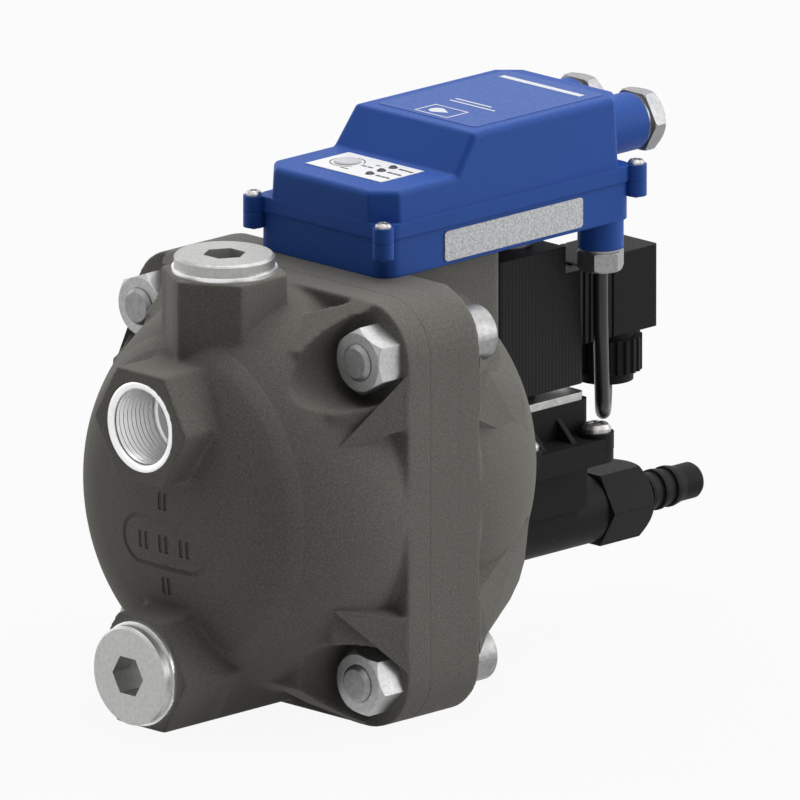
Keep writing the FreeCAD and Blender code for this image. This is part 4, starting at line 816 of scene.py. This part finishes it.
def photo_camera():
    """Camera at the photograph's angle, so far off that it sees the object nearly in parallel."""
    data = bpy.data.cameras.new("camera")
    data.lens = LENS
    data.sensor_width = SENSOR
    data.clip_start = CLIP_START
    data.clip_end = CLIP_END
    camera = bpy.data.objects.new("camera", data)
    bpy.context.scene.collection.objects.link(camera)
    away = direction(AZIMUTH, ELEVATION)
    camera.location = AIM + away * (IMAGE_PX / PX_PER_M * LENS / SENSOR)
    camera.rotation_euler = away.to_track_quat("Z", "Y").to_euler()
    bpy.context.scene.camera = camera


# Surfaces
casting = dressed_casting("casting_coat")
front_casting = dressed_casting("front_casting_coat", marked=True)
zinc = metal("zinc_plate", (186, 186, 185), (142, 143, 144), rough=0.4)
# Darker copy of the zinc plate for the shell bolts: painted shade that tones down the right lamp's light on
# their heads
bolt_zinc_shaded = metal("bolt_zinc_shaded", (156, 156, 155), (116, 117, 118), rough=0.42, speckle=500.0)
stainless = metal("stainless", (200, 198, 196), (150, 148, 146), rough=0.28, speckle=600.0)
nickel = metal("nickel", (164, 164, 165), (124, 125, 127), rough=0.38, speckle=700.0)
steel = metal("steel_sheet", (190, 190, 188), (140, 140, 138), rough=0.34, speckle=500.0)
brass = metal("disc_brass_metal", (190, 158, 92), (150, 120, 66), rough=0.32, speckle=600.0)
# The top plug's metal is toned darker than the lower plug's: painted shade against the top lamp's light on
# its upward face
plug_top_shaded = turned_metal("plug_top_shaded_metal", (174, 174, 172), (146, 146, 144), rough=0.4, centre=TOP_PORT,
                        axis="Z", pitch=0.5 * MM)
plug_front = turned_metal("plug_front_metal", (190, 190, 188), (160, 160, 158), rough=0.4,
                          centre=LOWER_PORT, axis="Y", pitch=0.5 * MM)
washer_top = turned_metal("washer_top_metal", (246, 246, 246), (222, 222, 222), rough=0.3,
                          centre=TOP_PORT, axis="Z", pitch=0.35 * MM)
washer_front = turned_metal("washer_front_metal", (246, 246, 246), (222, 222, 222), rough=0.3,
                            centre=LOWER_PORT, axis="Y", pitch=0.35 * MM)
inlet_metal = turned_metal("inlet_metal", (252, 252, 252), (236, 237, 238), rough=0.3, centre=PORT_MOUTH,
                           axis="Y", pitch=0.3 * MM)
rubber = plastic("seal_rubber_matt", (34, 34, 34), (24, 24, 24), rough=0.75, height=0.00003, edge=0.0002,
                 specular=0.25)
sheath = plastic("lead_sheath_black", (30, 30, 31), (22, 22, 23), rough=0.32, scale=1400.0,
                 height=0.000008, edge=0.0002, specular=0.5)
blue = plastic("blue_moulding", (44, 88, 172), (38, 79, 159), rough=0.5, scale=1300.0, height=0.000035,
               edge=0.0009, specular=0.15)
black = plastic("black_moulding", (36, 36, 36), (28, 28, 28), rough=0.55, scale=1200.0, edge=0.0006,
                specular=0.08)
coil_black = plastic("coil_moulding", (36, 36, 36), (28, 28, 28), rough=0.5, scale=1200.0, edge=0.0006,
                     specular=0.1, ribs=1.5 * MM)
probe = plastic("probe_sleeve", (222, 221, 216), (206, 205, 200), rough=0.4, scale=500.0, height=0.00002,
                edge=0.0003)
terminal = plastic("terminal_grey", (118, 120, 123), (104, 106, 109), rough=0.55)
lens = plastic("lamp_dark_lens", (24, 24, 26), (16, 16, 18), rough=0.2, scale=500.0, height=0.000005,
               edge=0.0002, specular=0.6)
button = plastic("button_white", (222, 223, 226), (210, 211, 214), rough=0.45, height=0.00001,
                 edge=0.0002, specular=0.3)
film = plastic("film_blue", (49, 92, 174), (44, 85, 164), rough=0.42, height=0.00001, edge=0.0001,
               specular=0.18)
label = printed_plastic("label_white", (255, 255, 255), (251, 251, 251))
print_white = printed_plastic("print_white_ink", (236, 238, 242), (226, 228, 234))
print_dark = printed_plastic("print_dark_ink", (38, 38, 40), (28, 28, 30))
plate = foil("speckled_foil")
board = laminate("board_green")

LOOKS = {
    "casting": casting, "zinc_steel": zinc, "washer_metal": washer_top, "stainless_steel": stainless,
    "nickel_plate": nickel, "seal_rubber": rubber, "lead_sheath": sheath, "blue_plastic": blue,
    "black_plastic": black, "probe_sheath": probe, "board_laminate": board, "terminal_plastic": terminal,
    "lamp_lens": lens, "label_film": label, "button_plastic": button, "plate_foil": plate,
    "blue_film": film, "disc_brass": brass,
}
SPECIAL = {
    "coil": coil_black, "top_plug": plug_top_shaded, "lower_plug": plug_front, "top_plug_seal": washer_top,
    "lower_plug_seal": washer_front, "shell_bolts": bolt_zinc_shaded, "steel_plate": steel,
}
SLOT_OF = {}
for entry in frame["record"]["subparts"]:
    SLOT_OF[entry["node"]] = entry["material_slot"]
for name, node in NODES.items():
    node.data.materials.clear()
    node.data.materials.append(SPECIAL.get(name, LOOKS[SLOT_OF[name]]))

# Castings, with room for the machined ring in the open port
bore_cut = cylinder_mesh("port_room", PORT_CUT_R, (0, -PORT_CUT_START, 0), ALONG_Y,
                         BORE_DEPTH + PORT_CUT_START)
front_piece = softened("front_shell", "front_casting", FRONT_VOXEL * MM,
                       [bore_cut, corner_clearance(FRONT), top_recesses(FRONT)],
                       [lug_webs(FRONT), flange_band("front_band", -BAND_T, 0.0)])
dress(front_piece, front_casting)
rear_piece = softened("rear_shell", "rear_casting", REAR_VOXEL * MM, [corner_clearance(REAR)],
                      [lug_webs(REAR), lug_shoulders(REAR), flange_band("rear_band", 0.0, BAND_T)])
dress(rear_piece, casting)
for insert in (inlet_thread(), inlet_ring(), inlet_way()):
    dress(insert, inlet_metal)

# Label and film with plain marks: bars, an open ring, and a drop in a frame
label_top = thinned("display_label", "label_sheet", label)
film_top = thinned("top_film", "film_sheet", film)
for number, lamp_y in enumerate(LAMP_PLACES_Y):
    for part, (start, end) in enumerate(LAMP_BARS_X):
        corners = oblong(start, end, lamp_y - LAMP_BAR_HALF_H, lamp_y + LAMP_BAR_HALF_H)
        dress(flat_patch(f"label_bar_{number}_{part}", corners, label_top), print_dark)
dress(button_ring("label_ring", label_top), print_dark)
for number, span in enumerate(LABEL_BARS):
    dress(flat_patch(f"label_mark_{number}", oblong(*span), label_top), print_dark)
dress(flat_patch("film_drop", drop_outline(), film_top), print_white)
for number, span in enumerate(FRAME_BARS):
    dress(flat_patch(f"film_frame_{number}", oblong(*span), film_top), print_white)
dress(flat_patch("film_rule", oblong(*FILM_RULE), film_top), print_white)
for number, span in enumerate(FILM_LINES):
    dress(flat_patch(f"film_line_{number}", oblong(*span), film_top), print_white)

# Spring above the valve disc: a copy of the CAD spring with its placing baked in, shown in the node's place
spring = add_object("closing_spring", NODES["diaphragm_spring"].data.copy())
spring.matrix_world = NODES["diaphragm_spring"].matrix_world.copy()
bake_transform(spring)
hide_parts("diaphragm_spring")

# Floor, light, world and camera
white_world()
pale_floor(cad_box[0][2] - FLOOR_GAP)
soft_lamp("top_lamp", azimuth=205, elevation=76, distance=1.8, size=2.4, power=37.0)
soft_lamp("right_lamp", azimuth=142, elevation=12, distance=1.9, size=1.8, power=24.0)
soft_lamp("left_lamp", azimuth=-75, elevation=4, distance=1.9, size=1.6, power=12.5)
photo_camera()
bpy.context.scene.view_settings.view_transform = "Standard"
